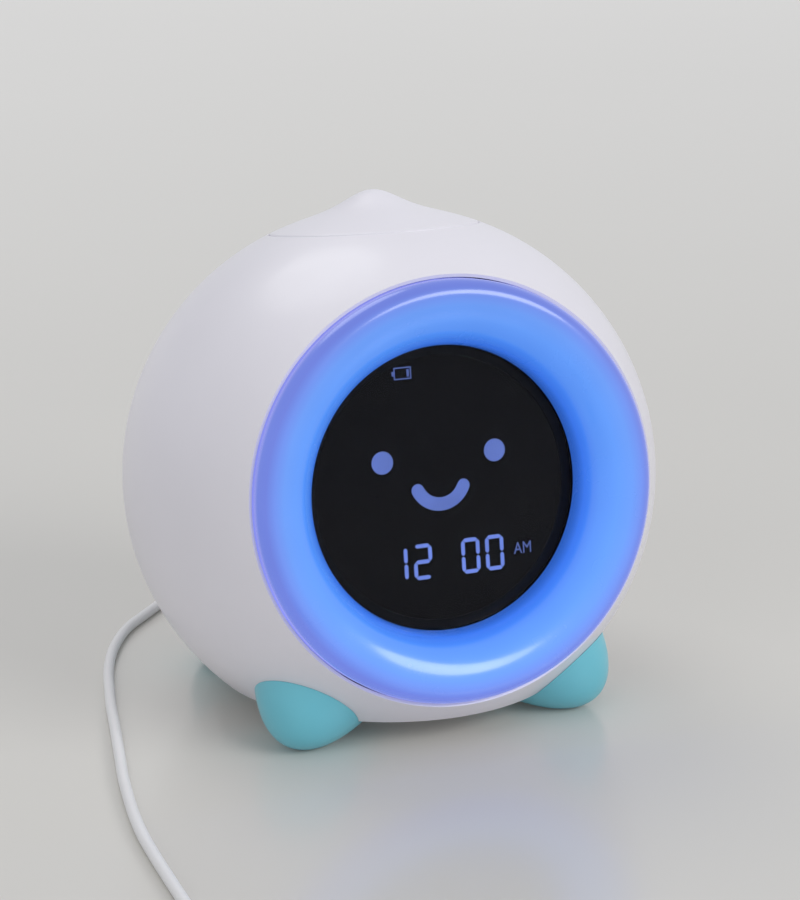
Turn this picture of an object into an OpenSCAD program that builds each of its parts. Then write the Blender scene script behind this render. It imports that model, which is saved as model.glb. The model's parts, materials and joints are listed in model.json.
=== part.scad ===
// Bedside night-light clock for a child's room: a leaning ball on four pebble feet, with a
// glowing ring round a round display, a peaked press-down cap and a charging lead behind.
// Millimetres, +Z up, the floor at z = 0, the face towards -Y.

/* [Body] */
// Outer radius of the ball
body_r = 80; // [76:1:86]
// Wall of the two moulded shells
wall = 2.4; // [2:0.1:3]
// Depth by which the ball's full round would pass below the floor
sink = 12.6; // [11:0.2:14]
// Backward lean of the ball, in degrees
lean = 9.1; // [6:0.1:12]
// Height of the ball's flat underside over the floor
base_h = 8.3; // [6:0.1:9]
// Distance of the shells' parting line behind the ball's centre
seam_back = 14; // [10:1:20]
// Length of the tongue that the rear shell slides into the front one
tongue_l = 3; // [2:0.5:4]
// Gap between mating mouldings
fit_gap = 0.1; // [0.05:0.05:0.2]

/* [Light ring] */
// Radius of the front opening
rim_r = 61; // [58:0.5:63]
// Width of the bevel on the opening's lip
lip_w = 1; // [0.6:0.1:1.4]
// Running gap round the ring and the other show pieces
show_gap = 0.3; // [0.2:0.05:0.4]
// Height of the ring's crest over the edge of the opening
ring_rise = 4.2; // [3:0.2:6]
// Radius of the ring's crest
crest_r = 55.8; // [53:0.2:57]
// Inner radius of the ring, where it meets the screen
ring_in_r = 41.3; // [38:0.1:43]
// Depth of the ring's inner edge below the edge of the opening
ring_drop = 9.6; // [7:0.2:11]
// Wall of the diffuser
ring_wall = 2.2; // [1.6:0.1:3]
// Number of lamps round the ring
led_count = 16; // [8:2:24]
// Length of one lamp along the ring
led_l = 3.5; // [2.8:0.1:5]
// Width of one lamp
led_w = 2.8; // [2:0.1:3.5]
// Height of one lamp over its board
led_h = 1.4; // [0.8:0.1:2]
// Thickness of every circuit board
board_t = 1.6; // [1:0.1:2]
// Screws that hold the ring's tray
tray_screw_r = 1.2; // [1:0.1:1.5]

/* [Screen] */
// Depth of the clear window below the ring's inner edge
window_drop = 1.2; // [0.6:0.1:2]
// Thickness of the window
window_t = 1.2; // [0.8:0.1:1.6]
// Wall of the dark frame round the window
frame_wall = 1.2; // [1:0.1:1.5]
// Width of the ledge that carries the window
ledge_w = 2.8; // [2:0.1:4]
// Depth of that ledge
ledge_t = 3; // [2.6:0.1:4]

/* [Cap] */
// Radius of the press-down cap
cap_r = 31.1; // [28:0.1:33]
// Height of its peak over the ball
peak_rise = 5; // [3:0.2:8]
// Spread of the peak
peak_w = 10; // [8:0.2:13]
// Travel of the cap
cap_travel = 2; // [1:0.1:2.4]
// Radius of the cap's central stem
stem_r = 3; // [2.4:0.1:4]
// Width of the cap's retaining flange
cap_flange = 1.9; // [1.4:0.1:2.2]

/* [Feet] */
// Half length of a front foot's egg shape
foot_a = 60; // [54:1:64]
// Half width of a front foot's egg shape
foot_b = 25.1; // [22:0.1:28]
// Direction of a front foot, in degrees from straight ahead
foot_yaw = 47.8; // [38:0.2:56]
// Downward slope of a front foot, in degrees
foot_pitch = 37.6; // [30:0.2:45]
// Distance of a front foot's egg centre inside the ball's outline
foot_inset = 60.7; // [56:0.1:64]
// Half length of a rear foot's egg shape
rear_foot_a = 34; // [30:1:38]
// Half width of a rear foot's egg shape
rear_foot_b = 17; // [14:0.5:20]
// Direction of a rear foot, in degrees from straight back
rear_foot_yaw = 51; // [45:1:60]
// Distance of a rear foot's egg centre inside the ball's outline
rear_foot_inset = 44; // [40:1:48]
// Depth of the flat that each foot stands on
foot_flat = 0.7; // [0.4:0.1:1.2]

/* [Rear controls] */
// Radius of the round control panel
panel_r = 36.6; // [34:0.2:38]
// Depth of the panel's face inside the ball's outline
panel_inset = 1.6; // [1:0.1:3]
// Thickness of the panel
panel_t = 2.4; // [2:0.1:3]
// Radius of a button's top
button_r = 4.2; // [3.6:0.1:4.6]
// Height of a button over the panel
button_h = 1.6; // [1.2:0.1:2.4]
// Travel of a button
button_travel = 1; // [0.5:0.1:1.1]
// Spacing of the buttons across
button_dx = 15; // [13.5:0.5:16]
// Height of the lower row of buttons over the panel's centre
button_row = 12.5; // [12:0.5:14]
// Spacing of the two rows
button_dz = 11.5; // [11.5:0.1:12]
// Depth from the panel's inner face to the control board
board_drop = 8.4; // [8:0.1:9.5]
// Radius of the control board
board_r = 33; // [31:0.5:36]

/* [Speaker] */
// Radius of the loudspeaker
speaker_r = 13; // [11:0.5:13.5]
// Depth of the loudspeaker
speaker_d = 9; // [8:0.5:12]
// Distance of the grille's centre below the panel's centre
grille_drop = 9; // [8:0.5:10]
// Radius of one grille hole
grille_hole_r = 1; // [0.8:0.1:1.2]
// Spacing of the grille holes
grille_pitch = 3.5; // [3.2:0.1:4]

/* [Battery] */
// Radius of the rechargeable cell
cell_r = 9.2; // [8.5:0.1:9.5]
// Length of the cell
cell_l = 65; // [60:1:66]
// Clearance of the cell's holder to the shell
cell_clear = 1; // [0.8:0.2:4]

/* [Charging lead] */
// Distance of the charging socket below the panel's centre
port_drop = 28; // [27:0.2:29]
// Diameter of the lead
lead_d = 3.3; // [3:0.1:3.5]
// Length of the plug's handle
plug_l = 17; // [14:0.5:20]
// Length of the strain relief behind the plug
boot_l = 14; // [12:0.5:18]
// Length of the charger plug's handle
usb_l = 28; // [24:0.5:32]
// Width of the charger plug's handle
usb_w = 15.6; // [14:0.2:17]
// Height of the charger plug's handle
usb_h = 8; // [7.4:0.1:9]

/* [Hidden] */
$fn = 96;

// Height of the ball's centre over the floor
centre_h = body_r - sink;

// Ring and screen stations, as distances in front of the ball's centre
rim_p = sqrt(body_r * body_r - rim_r * rim_r);
crest_p = rim_p + ring_rise;
inner_p = rim_p - ring_drop;
lip_p = inner_p - 0.6;
skirt_p = rim_p - 6.8;
lip_half = (90 - asin(rim_r / body_r)) / 2;
lip_cut_p = rim_p - lip_w / 2 / sin(lip_half);
window_p = inner_p - window_drop;
ledge_p = window_p - window_t;
lcd_p = ledge_p - 0.2;
display_p = ledge_p - ledge_t;
frame_back_p = display_p - board_t - 1.2;
ring_out_r = rim_r - show_gap;
frame_in_r = ring_in_r - 0.1;
frame_out_r = frame_in_r + frame_wall;
lcd_r = frame_in_r - ledge_w - fit_gap;
tray_t = 2;
tray_back_p = frame_back_p + 1.6;
tray_floor_p = tray_back_p + tray_t;
tray_in_r = frame_out_r + fit_gap;
tray_wall = 1.8;
ring_board_in_r = tray_in_r + tray_wall + 0.3;
ring_board_out_r = ring_out_r - ring_wall - 0.3;
led_ring_r = (ring_board_in_r + ring_board_out_r) / 2;
ear_r = rim_r + 3;
ear_angles = [30, 90, 150, 210, 330];
boss_r = 2.9;
ear_w = 5;
pilot_gap = 0.02;

// The origin lies under the middle of the clock, so the ball's centre stands a little off it
panel_hole_r = panel_r + show_gap;
front_reach = crest_r * sin(lean) + crest_p * cos(lean);
rear_reach = body_r * cos(asin(panel_hole_r / body_r) - lean);
ball_y = (front_reach - rear_reach) / 2;

// Cap stations, as heights over the ball's centre along the lean
cap_hole_r = cap_r + show_gap;
cap_hole_z = sqrt(body_r * body_r - cap_hole_r * cap_hole_r);
edge_break = 0.5;
cap_seam_z = sqrt(body_r * body_r - cap_r * cap_r);
flange_r = cap_r + cap_flange;
flange_top_z = sqrt(pow(body_r - wall, 2) - flange_r * flange_r) - show_gap;
flange_t = 1.5;
cap_wall = 2.1;
carrier_t = 2;
carrier_z = cap_seam_z - 15.7;
carrier_top_z = carrier_z + carrier_t;
carrier_r = flange_r - 0.5;
carrier_post_r = flange_r + 3.5;
cap_rib_z = flange_top_z + 1.1;
cap_rib_l = 16;
carrier_angles = [14, 166, 200, 340];
guide_r = stem_r + 0.08;
guide_h = 5;
snooze_base_z = carrier_z - 7;
stem_end_z = carrier_z - 1.5;

// Rear panel stations, as distances behind the ball's centre
panel_q = sqrt(body_r * body_r - panel_hole_r * panel_hole_r) - panel_inset;
panel_in_q = panel_q - panel_t;
panel_ledge_w = 2.6;
panel_ledge_t = 2.4;
board_q = panel_in_q - board_drop;
board_back_q = board_q - board_t;
panel_screw_r = 31.2;
panel_screw_angles = [0, 180, 240, 300];
post_xz = [[-22, 2.5], [22, 2.5], [-22, -22], [22, -22]];
button_flange = 1;
button_hole_r = button_r + show_gap;
flange_q = panel_in_q - show_gap;
switch_w = 6;
switch_h = 4.3;
well_r = 1.56;
button_stem_r = 1.5;
button_xz = [for (row = [1, 0]) for (col = [-1, 0, 1]) [col * button_dx, button_row + row * button_dz]];
speaker_angles = [-30, 30, 150, 210];
speaker_screw_r = speaker_r + 2.4;
grille_r = speaker_r - 1.6;

speaker_flange_t = 1.2;

// Case screws
case_r = body_r - 12.5;
case_boss_p = 8;
case_angles = [48, 132, 196, 344];
case_boss_r = 4;
case_rib_w = 2.4;
case_shank_r = 1.5;
case_head_r = 2.8;
case_seat = 7;

// Places of the screws that hold the feet, from the ball's axis
foot_screw_r = 1.2;
foot_screw_l = 5;
base_in_r = sqrt(pow(body_r - wall, 2) - pow(centre_h - base_h - wall, 2));
front_screw = (base_in_r - 7.7) * [sin(foot_yaw), -cos(foot_yaw)];
rear_screw = (base_in_r - 5.2) * [sin(rear_foot_yaw + 4.6), cos(rear_foot_yaw + 4.6)];
foot_screw_xy = [for (side = [-1, 1]) for (at = [front_screw, rear_screw]) [side * at[0], at[1]]];

// Charging socket and plug
port_w = 9.2;
port_h = 3.4;
tip_w = 8.25;
tip_h = 2.4;
tip_l = 6.4;
plug_w = 12;
plug_h = 6.6;
lead_r = lead_d / 2;

// Points on the leaning ball, in the floor's own axes
function from_ball(x, y, z) = [
    x,
    ball_y + y * cos(lean) + z * sin(lean),
    centre_h - y * sin(lean) + z * cos(lean)
];

module in_body() {
    translate([0, ball_y, centre_h])
        rotate([-lean, 0, 0])
            children();
}

// Floor axes under the ball's centre
module under_ball() {
    translate([0, ball_y, 0])
        children();
}

// Face axes: X to the right, Y up the face, Z straight out of the face
module in_face() {
    in_body()
        rotate([90, 0, 0])
            children();
}

// A flat outline between two stations of the face axes
module slab(p0, p1) {
    translate([0, 0, min(p0, p1)])
        linear_extrude(abs(p1 - p0))
            children();
}

module ring_2d(r_out, r_in) {
    difference() {
        circle(r_out);
        circle(r_in);
    }
}

// A slot with round ends
module stadium(w, h) {
    square([w - h, h], center = true);
    for (side = [-1, 1])
        translate([side * (w - h) / 2, 0])
            circle(h / 2);
}

module ball(r) {
    in_body()
        sphere(r, $fn = 192);
}

module above(z) {
    translate([-150, -150, z])
        cube([300, 300, 300]);
}

module cut_ball(inset, floor_t) {
    intersection() {
        ball(body_r - inset);
        above(base_h + floor_t);
    }
}

module in_front_of(p) {
    in_face()
        translate([-150, -150, p])
            cube([300, 300, 300]);
}

module behind(p) {
    in_face()
        translate([-150, -150, p - 300])
            cube([300, 300, 300]);
}

// A band of the ball's wall, between two depths and two stations
module wall_band(depth0, depth1, p0, p1) {
    intersection() {
        difference() {
            cut_ball(depth0, wall);
            ball(body_r - depth1);
        }
        in_face()
            slab(p0, p1)
                circle(body_r + 5);
    }
}

// A pan-head screw whose head sits behind station p and whose shank points to +Z
module screw(shank_r, shank_l, head_r, head_t) {
    translate([0, 0, -head_t])
        cylinder(h = head_t, r1 = head_r * 0.8, r2 = head_r, $fn = 32);
    cylinder(h = shank_l, r = shank_r, $fn = 32);
}

module polar(r, angle) {
    translate([r * cos(angle), r * sin(angle), 0])
        children();
}

// Outline of a screw boss at a radius and angle, with a rib from its middle to another radius
module boss_2d(r, angle, boss, rib_r, rib_w) {
    polar(r, angle)
        circle(boss, $fn = 48);
    rotate(angle)
        translate([min(r, rib_r), -rib_w / 2])
            square([abs(rib_r - r), rib_w]);
}

// ---------- the two shells

module shell_blank() {
    difference() {
        cut_ball(0, 0);
        cut_ball(wall, wall);
    }
}

module cap_hole() {
    in_body() {
        translate([0, 0, body_r * 0.6])
            cylinder(h = body_r, r = cap_hole_r);
        translate([0, 0, cap_hole_z - 2 * edge_break])
            cylinder(h = 3, r1 = cap_hole_r - edge_break, r2 = cap_hole_r - edge_break + 3);
    }
}

module case_boss(angle, p0, p1) {
    in_face()
        slab(p0, p1)
            boss_2d(case_r, angle, case_boss_r, body_r - 1, case_rib_w);
}

module foot_screw_holes() {
    under_ball()
        for (p = foot_screw_xy)
            translate([p[0], p[1], base_h - 1])
                cylinder(h = wall + 2, r = foot_screw_r + 0.2, $fn = 32);
}

module front_shell() {
    color("#eceaf2")
    difference() {
        union() {
            intersection() {
                shell_blank();
                in_front_of(-seam_back + fit_gap / 2);
            }
            intersection() {
                cut_ball(wall / 2, wall / 2);
                union() {
                    for (a = case_angles)
                        case_boss(a, -seam_back + fit_gap, case_boss_p);
                    in_face()
                        for (a = ear_angles)
                            polar(ear_r, a)
                                slab(tray_floor_p + fit_gap, rim_p)
                                    circle(boss_r, $fn = 48);
                    in_body()
                        for (a = carrier_angles)
                            polar(carrier_post_r, a)
                                translate([0, 0, carrier_top_z + fit_gap])
                                    cylinder(h = 20, r = boss_r, $fn = 48);
                }
            }
        }
        in_face() {
            slab(lip_p, body_r)
                circle(rim_r);
            translate([0, 0, lip_cut_p - lip_w * tan(lip_half)])
                cylinder(
                    h = 6 * lip_w * tan(lip_half), r1 = rim_r - lip_w, r2 = rim_r + 5 * lip_w
                );
        }
        cap_hole();
        wall_band(wall * 0.45, wall + 1, -seam_back - 1, -seam_back + tongue_l + 0.3);
        in_face()
            for (a = case_angles)
                polar(case_r, a)
                    slab(-seam_back - 1, 4)
                        circle(case_shank_r + pilot_gap, $fn = 32);
        in_face()
            for (a = ear_angles)
                polar(ear_r, a)
                    slab(tray_back_p, tray_floor_p + 4.5)
                        circle(tray_screw_r + pilot_gap, $fn = 32);
        in_body()
            for (a = carrier_angles)
                polar(carrier_post_r, a)
                    translate([0, 0, carrier_z])
                        cylinder(h = carrier_t + 6, r = tray_screw_r + pilot_gap, $fn = 32);
        foot_screw_holes();
    }
}

module rear_shell() {
    color("#eceaf2")
    difference() {
        union() {
            intersection() {
                shell_blank();
                behind(-seam_back - fit_gap / 2);
            }
            difference() {
                wall_band(wall * 0.5, wall, -seam_back - 0.5, -seam_back + tongue_l);
                cap_hole();
            }
            intersection() {
                cut_ball(0, wall / 2);
                union() {
                    for (a = case_angles)
                        case_boss(a, -seam_back - fit_gap, -body_r);
                    in_face()
                        slab(-panel_in_q + panel_ledge_t, -body_r)
                            ring_2d(panel_hole_r + 2.2, panel_hole_r - panel_ledge_w);
                    in_face()
                        slab(-panel_in_q, -panel_in_q + 6.5)
                            for (a = panel_screw_angles)
                                boss_2d(panel_screw_r, a, boss_r, panel_hole_r + 1, case_rib_w);
                }
            }
        }
        in_face()
            slab(-panel_in_q, -body_r - 5)
                circle(panel_hole_r);
        cap_hole();
        in_face()
            for (a = case_angles)
                polar(case_r, a) {
                    slab(-seam_back + 1, -seam_back - case_seat - 1)
                        circle(case_shank_r + 0.2, $fn = 32);
                    slab(-seam_back - case_seat, -body_r)
                        circle(case_head_r + 0.4, $fn = 32);
                }
        in_face()
            for (a = panel_screw_angles)
                polar(panel_screw_r, a)
                    slab(-panel_in_q - 1, -panel_in_q + 5)
                        circle(tray_screw_r + pilot_gap, $fn = 32);
        foot_screw_holes();
    }
}

module case_screws() {
    color("#8d9096")
    in_face()
        for (a = case_angles)
            polar(case_r, a)
                translate([0, 0, -seam_back - case_seat])
                    screw(case_shank_r, case_seat + 13, case_head_r, 2);
}

// ---------- light ring

// Points of a quarter ellipse about [cr, cp], from angle a0 to a1
function arc(cr, cp, sr, sp, a0, a1, steps) =
    [for (i = [0:steps]) let (a = a0 + (a1 - a0) * i / steps) [cr + sr * cos(a), cp + sp * sin(a)]];

ring_shoulder_p = rim_p - 0.4;

module light_ring() {
    outer = arc(crest_r, ring_shoulder_p, ring_out_r - crest_r, crest_p - ring_shoulder_p, 0, 90, 8);
    inner = arc(crest_r, inner_p, crest_r - ring_in_r, crest_p - inner_p, 96, 180, 14);
    under = arc(
        crest_r, inner_p, crest_r - ring_in_r - ring_wall, crest_p - inner_p - ring_wall, 180, 96, 12
    );
    back = arc(
        crest_r, ring_shoulder_p, ring_out_r - crest_r - ring_wall,
        crest_p - ring_shoulder_p - ring_wall, 90, 0, 6
    );
    color("#6f93ff")
    in_face()
        rotate_extrude()
            polygon(concat(
                [[ring_out_r, skirt_p]], outer, inner,
                [[ring_in_r, lip_p], [ring_in_r + ring_wall, lip_p]],
                under, back, [[ring_out_r - ring_wall, skirt_p]]
            ));
}

module ring_tray() {
    color("#f4f4f4")
    intersection() {
        tray_blank();
        ball(body_r - wall - fit_gap);
    }
}

module tray_blank() {
    in_face()
    difference() {
        union() {
            slab(tray_back_p, tray_floor_p) {
                circle(ring_out_r - fit_gap);
                for (a = ear_angles)
                    boss_2d(ear_r, a, boss_r, ear_r - 8, ear_w);
            }
            slab(tray_back_p, skirt_p)
                ring_2d(ring_out_r - fit_gap, ring_out_r - ring_wall);
            slab(tray_back_p, lip_p)
                ring_2d(tray_in_r + tray_wall, tray_in_r);
        }
        slab(tray_back_p - 1, lip_p + 1)
            circle(tray_in_r);
        for (a = ear_angles)
            polar(ear_r, a)
                slab(tray_back_p - 1, tray_floor_p + 1)
                    circle(tray_screw_r + 0.2, $fn = 32);
        for (a = [45:90:315])
            polar(tray_in_r + 3.2, a)
                slab(tray_back_p - 1, tray_floor_p + 1)
                    circle(tray_screw_r - 0.2 + pilot_gap, $fn = 32);
    }
}

module tray_screws() {
    color("#9a9da3")
    in_face()
        for (a = ear_angles)
            polar(ear_r, a)
                translate([0, 0, tray_back_p])
                    screw(tray_screw_r, tray_t + 4, 2.3, 1.5);
}

module ring_board() {
    color("#f1f1ea")
    in_face()
    difference() {
        slab(tray_floor_p, tray_floor_p + board_t)
            ring_2d(ring_board_out_r, ring_board_in_r);
        for (a = [45:90:315])
            polar(tray_in_r + 3.2, a)
                slab(tray_floor_p - 1, tray_floor_p + board_t + 1)
                    circle(tray_screw_r + 0.2, $fn = 32);
    }
}

module ring_leds() {
    color("#fff6c8")
    in_face()
        for (i = [0:led_count - 1])
            rotate(i * 360 / led_count)
                translate([led_ring_r, 0, tray_floor_p + board_t + led_h / 2])
                    cube([led_w, led_l, led_h], center = true);
}

// ---------- screen

module screen_frame() {
    color("#101014")
    in_face()
    difference() {
        union() {
            slab(frame_back_p, lip_p)
                ring_2d(frame_out_r, frame_in_r);
            slab(display_p, ledge_p)
                ring_2d(frame_in_r + 0.5, frame_in_r - ledge_w);
            slab(frame_back_p, tray_back_p)
                ring_2d(tray_in_r + 6, frame_in_r);
        }
        for (a = [45:90:315])
            polar(tray_in_r + 3.2, a)
                slab(frame_back_p - 1, tray_back_p + 1)
                    circle(tray_screw_r, $fn = 32);
        for (a = [0:90:270])
            polar(frame_in_r - ledge_w / 2, a)
                slab(display_p - 1, display_p + 2.2)
                    circle(0.7 + pilot_gap, $fn = 24);
    }
}

module screen_window() {
    color("#1c1d22", 0.35)
    in_face()
        slab(ledge_p, window_p)
            circle(frame_in_r - fit_gap);
}

module lcd_panel() {
    color("#07070a")
    in_face()
        slab(display_p, lcd_p)
            circle(lcd_r);
}

module display_board() {
    color("#1d5c3a")
    in_face()
    difference() {
        slab(display_p - board_t, display_p)
            circle(frame_in_r - fit_gap);
        for (a = [0:90:270])
            polar(frame_in_r - ledge_w / 2, a)
                slab(display_p - board_t - 1, display_p + 1)
                    circle(0.9, $fn = 24);
    }
}

module board_chips() {
    color("#22242a")
    in_face()
        translate([0, 0, display_p - board_t]) {
            translate([-8, -6, -1.6])
                cube([14, 14, 1.6]);
            translate([-26, 10, -1.4])
                cube([8, 10, 1.4]);
            translate([14, -20, -2.4])
                cube([9, 5, 2.4]);
        }
}

module display_screws() {
    color("#9a9da3")
    in_face() {
        for (a = [0:90:270])
            polar(frame_in_r - ledge_w / 2, a)
                translate([0, 0, display_p - board_t])
                    screw(0.7, board_t + 2, 1.25, 0.8);
        for (a = [45:90:315])
            polar(tray_in_r + 3.2, a)
                translate([0, 0, frame_back_p])
                    screw(tray_screw_r - 0.2, tray_floor_p - frame_back_p - 0.2, 2, 1.3);
    }
}

// ---------- press-down cap

// Height of the cap's skin over the ball's centre, at a radius from its axis
function cap_skin(r) = sqrt(body_r * body_r - r * r) + peak_rise * exp(-r * r / (peak_w * peak_w));

module top_cap() {
    skin_r = concat([for (r = [0:1.5:18]) r], [for (r = [20.5:2.5:cap_r - 1.5]) r], [cap_r - 0.4]);
    n = len(skin_r);
    color("#eceaf2")
    in_body() {
        rotate_extrude()
            polygon(concat(
                [for (r = skin_r) [r, cap_skin(r)]],
                [
                    [cap_r, cap_skin(cap_r) - 0.5],
                    [cap_r, flange_top_z], [flange_r, flange_top_z],
                    [flange_r, flange_top_z - flange_t],
                    [cap_r - cap_wall, flange_top_z - flange_t],
                    [cap_r - cap_wall, cap_skin(cap_r - cap_wall) - cap_wall]
                ],
                [for (i = [n - 3:-1:0]) [skin_r[i] * 0.9, cap_skin(skin_r[i]) - cap_wall]]
            ));
        translate([0, 0, stem_end_z])
            cylinder(h = cap_skin(0) - cap_wall / 2 - stem_end_z, r = stem_r);
        for (a = [45:90:315])
            rotate(a)
                translate([stem_r - 0.5, -0.7, cap_rib_z])
                    cube([cap_rib_l, 1.4, cap_skin(cap_rib_l) - cap_wall / 2 - cap_rib_z]);
    }
}

module cap_carrier() {
    color("#dcdde2")
    in_body()
    difference() {
        union() {
            slab(carrier_z, carrier_top_z) {
                intersection() {
                    circle(carrier_r);
                    translate([-carrier_r, -28])
                        square([2 * carrier_r, 28 + carrier_r]);
                }
                for (a = carrier_angles)
                    boss_2d(carrier_post_r, a, boss_r, carrier_r - 4, ear_w);
            }
            translate([0, 0, carrier_z])
                cylinder(h = carrier_t + guide_h, r = guide_r + 1.8);
        }
        translate([0, 0, carrier_z - 1])
            cylinder(h = carrier_t + guide_h + 2, r = guide_r);
        for (a = carrier_angles)
            polar(carrier_post_r, a)
                translate([0, 0, carrier_z - 1])
                    cylinder(h = carrier_t + 2, r = tray_screw_r + 0.2, $fn = 32);
    }
}

module carrier_screws() {
    color("#9a9da3")
    in_body()
        for (a = carrier_angles)
            polar(carrier_post_r, a)
                translate([0, 0, carrier_z])
                    screw(tray_screw_r, carrier_t + 5.5, 2.3, 1.5);
}

// Switch module that hangs under the carrier and takes the cap's stem
module snooze_switch() {
    color("#2a2c33")
    in_body()
    difference() {
        translate([-7, -7, snooze_base_z])
            cube([14, 14, carrier_z - snooze_base_z]);
        translate([0, 0, stem_end_z - cap_travel - 0.8])
            cylinder(h = 20, r = guide_r + 0.2);
    }
}

// ---------- feet

// An egg shape with its long axis on +Z
module egg(a, b) {
    rotate_extrude()
        polygon([for (t = [-90:7.5:90]) [max(0, b * cos(t)), a * sin(t)]]);
}

function egg_drop(a, b, pitch) = sqrt(b * b + (a * a - b * b) * pow(sin(pitch), 2));

// A foot that points out and down: the egg less the ball, cut flat where it stands
module foot(a, b, yaw, out, screw_at) {
    color("#64c5cf")
    difference() {
        intersection() {
            under_ball()
                rotate(yaw)
                    translate([out, 0, egg_drop(a, b, foot_pitch) - foot_flat])
                        rotate([0, 90 + foot_pitch, 0])
                            egg(a, b);
            above(0);
        }
        cut_ball(-fit_gap, -fit_gap / 2);
        under_ball()
            translate([screw_at[0], screw_at[1], base_h - foot_screw_l - 0.5])
                cylinder(h = foot_screw_l + 4, r = foot_screw_r + pilot_gap, $fn = 32);
    }
}

module front_foot(side) {
    foot(
        foot_a, foot_b, -90 + side * foot_yaw, body_r - foot_inset,
        [side * front_screw[0], front_screw[1]]
    );
}

module rear_foot(side) {
    foot(
        rear_foot_a, rear_foot_b, 90 - side * rear_foot_yaw, body_r - rear_foot_inset,
        [side * rear_screw[0], rear_screw[1]]
    );
}

module foot_left() {
    front_foot(-1);
}

module foot_right() {
    front_foot(1);
}

module rear_foot_left() {
    rear_foot(-1);
}

module rear_foot_right() {
    rear_foot(1);
}

module foot_screws() {
    color("#9a9da3")
    under_ball()
        for (p = foot_screw_xy)
            translate([p[0], p[1], base_h + wall])
                rotate([180, 0, 0])
                    screw(foot_screw_r, wall + foot_screw_l, 2.6, 1.6);
}

// ---------- rear panel and buttons

module grille_holes() {
    rows = floor(grille_r / (grille_pitch * sin(60)));
    for (row = [-rows:rows])
        for (col = [-6:6]) {
            x = (col + (abs(row) % 2) / 2) * grille_pitch;
            y = row * grille_pitch * sin(60);
            if (x * x + y * y < pow(grille_r - grille_hole_r, 2))
                translate([x, y - grille_drop])
                    circle(grille_hole_r, $fn = 20);
        }
}

module rear_panel() {
    color("#e4e2ea")
    in_face()
    difference() {
        union() {
            slab(-panel_q, -panel_in_q)
                circle(panel_r);
            for (p = post_xz)
                translate([p[0], p[1], -panel_in_q - 1])
                    cylinder(h = board_drop + 1, r = 2.5, $fn = 48);
            for (a = speaker_angles)
                translate([0, -grille_drop, 0])
                    polar(speaker_screw_r, a)
                        slab(-panel_in_q - 1, -panel_in_q + speaker_flange_t + 0.05)
                            circle(2.1, $fn = 48);
        }
        slab(-panel_q - 1, -panel_in_q + 1)
            grille_holes();
        for (p = button_xz)
            translate([p[0], p[1], -panel_q - 1])
                cylinder(h = panel_t + 2, r = button_hole_r);
        translate([0, -port_drop, 0])
            slab(-panel_q - 1, -panel_in_q + 1)
                stadium(port_w + 0.6, port_h + 0.6);
        for (a = panel_screw_angles)
            polar(panel_screw_r, a) {
                slab(-panel_q - 1, -panel_in_q + 1)
                    circle(tray_screw_r + 0.2, $fn = 32);
                slab(-panel_q - 1, -panel_q + 1.2)
                    circle(2.6, $fn = 32);
            }
        for (p = post_xz)
            translate([p[0], p[1], -board_q - 6])
                cylinder(h = 7, r = 1 + pilot_gap, $fn = 32);
        for (a = speaker_angles)
            translate([0, -grille_drop, 0])
                polar(speaker_screw_r, a)
                    slab(-panel_in_q - 0.6, -panel_in_q + 3)
                        circle(0.8 + pilot_gap, $fn = 24);
    }
}

module panel_screws() {
    color("#9a9da3")
    in_face()
        for (a = panel_screw_angles)
            polar(panel_screw_r, a)
                translate([0, 0, -panel_q + 1.2])
                    screw(tray_screw_r, 5.5, 2.3, 1.1);
}

// A button slides in its hole, is kept by a flange inside and ends in its switch
module button(index) {
    q0 = panel_q + button_h;
    stem_q = board_q + switch_h - 1;
    color("#64c5cf")
    in_face()
        translate([button_xz[index][0], button_xz[index][1], 0]) {
            translate([0, 0, -q0])
                cylinder(h = 0.5, r1 = button_r - 0.5, r2 = button_r);
            translate([0, 0, -q0 + 0.5])
                cylinder(h = q0 - 0.5 - flange_q + 1.1, r = button_r);
            translate([0, 0, -flange_q])
                cylinder(h = 1.1, r = button_r + button_flange);
            translate([0, 0, -flange_q])
                cylinder(h = flange_q - stem_q, r = button_stem_r);
        }
}

module button_light() {
    button(0);
}

module button_sound() {
    button(1);
}

module button_alarm() {
    button(2);
}

module button_minus() {
    button(3);
}

module button_clock() {
    button(4);
}

module button_plus() {
    button(5);
}

module control_board() {
    color("#1d5c3a")
    in_face()
    difference() {
        slab(-board_q, -board_back_q)
            circle(board_r);
        translate([0, -grille_drop, 0])
            slab(-board_q - 1, -board_back_q + 1)
                circle(speaker_r + 0.8);
        for (p = post_xz)
            translate([p[0], p[1], -board_q - 1])
                cylinder(h = board_t + 2, r = 1.2, $fn = 32);
    }
}

module button_switches() {
    color("#33363d")
    in_face()
        for (p = button_xz)
            translate([p[0], p[1], -board_q - switch_h])
                difference() {
                    translate([-switch_w / 2, -switch_w / 2, 0])
                        cube([switch_w, switch_w, switch_h]);
                    translate([0, 0, -1])
                        cylinder(h = 1 + 1 + button_travel + 0.5, r = well_r, $fn = 32);
                }
}

module board_screws() {
    color("#9a9da3")
    in_face()
        for (p = post_xz)
            translate([p[0], p[1], -board_back_q])
                rotate([180, 0, 0])
                    screw(1, board_t + 5, 2, 1.3);
}

module charge_socket() {
    color("#b9bcc2")
    in_face()
        translate([0, -port_drop, 0]) {
            difference() {
                slab(-panel_q + 0.3, -board_q)
                    stadium(port_w, port_h);
                slab(-panel_q - 1, -panel_q + tip_l + 0.8)
                    stadium(tip_w + 0.2, tip_h + 0.2);
            }
        }
}

// ---------- loudspeaker

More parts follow.
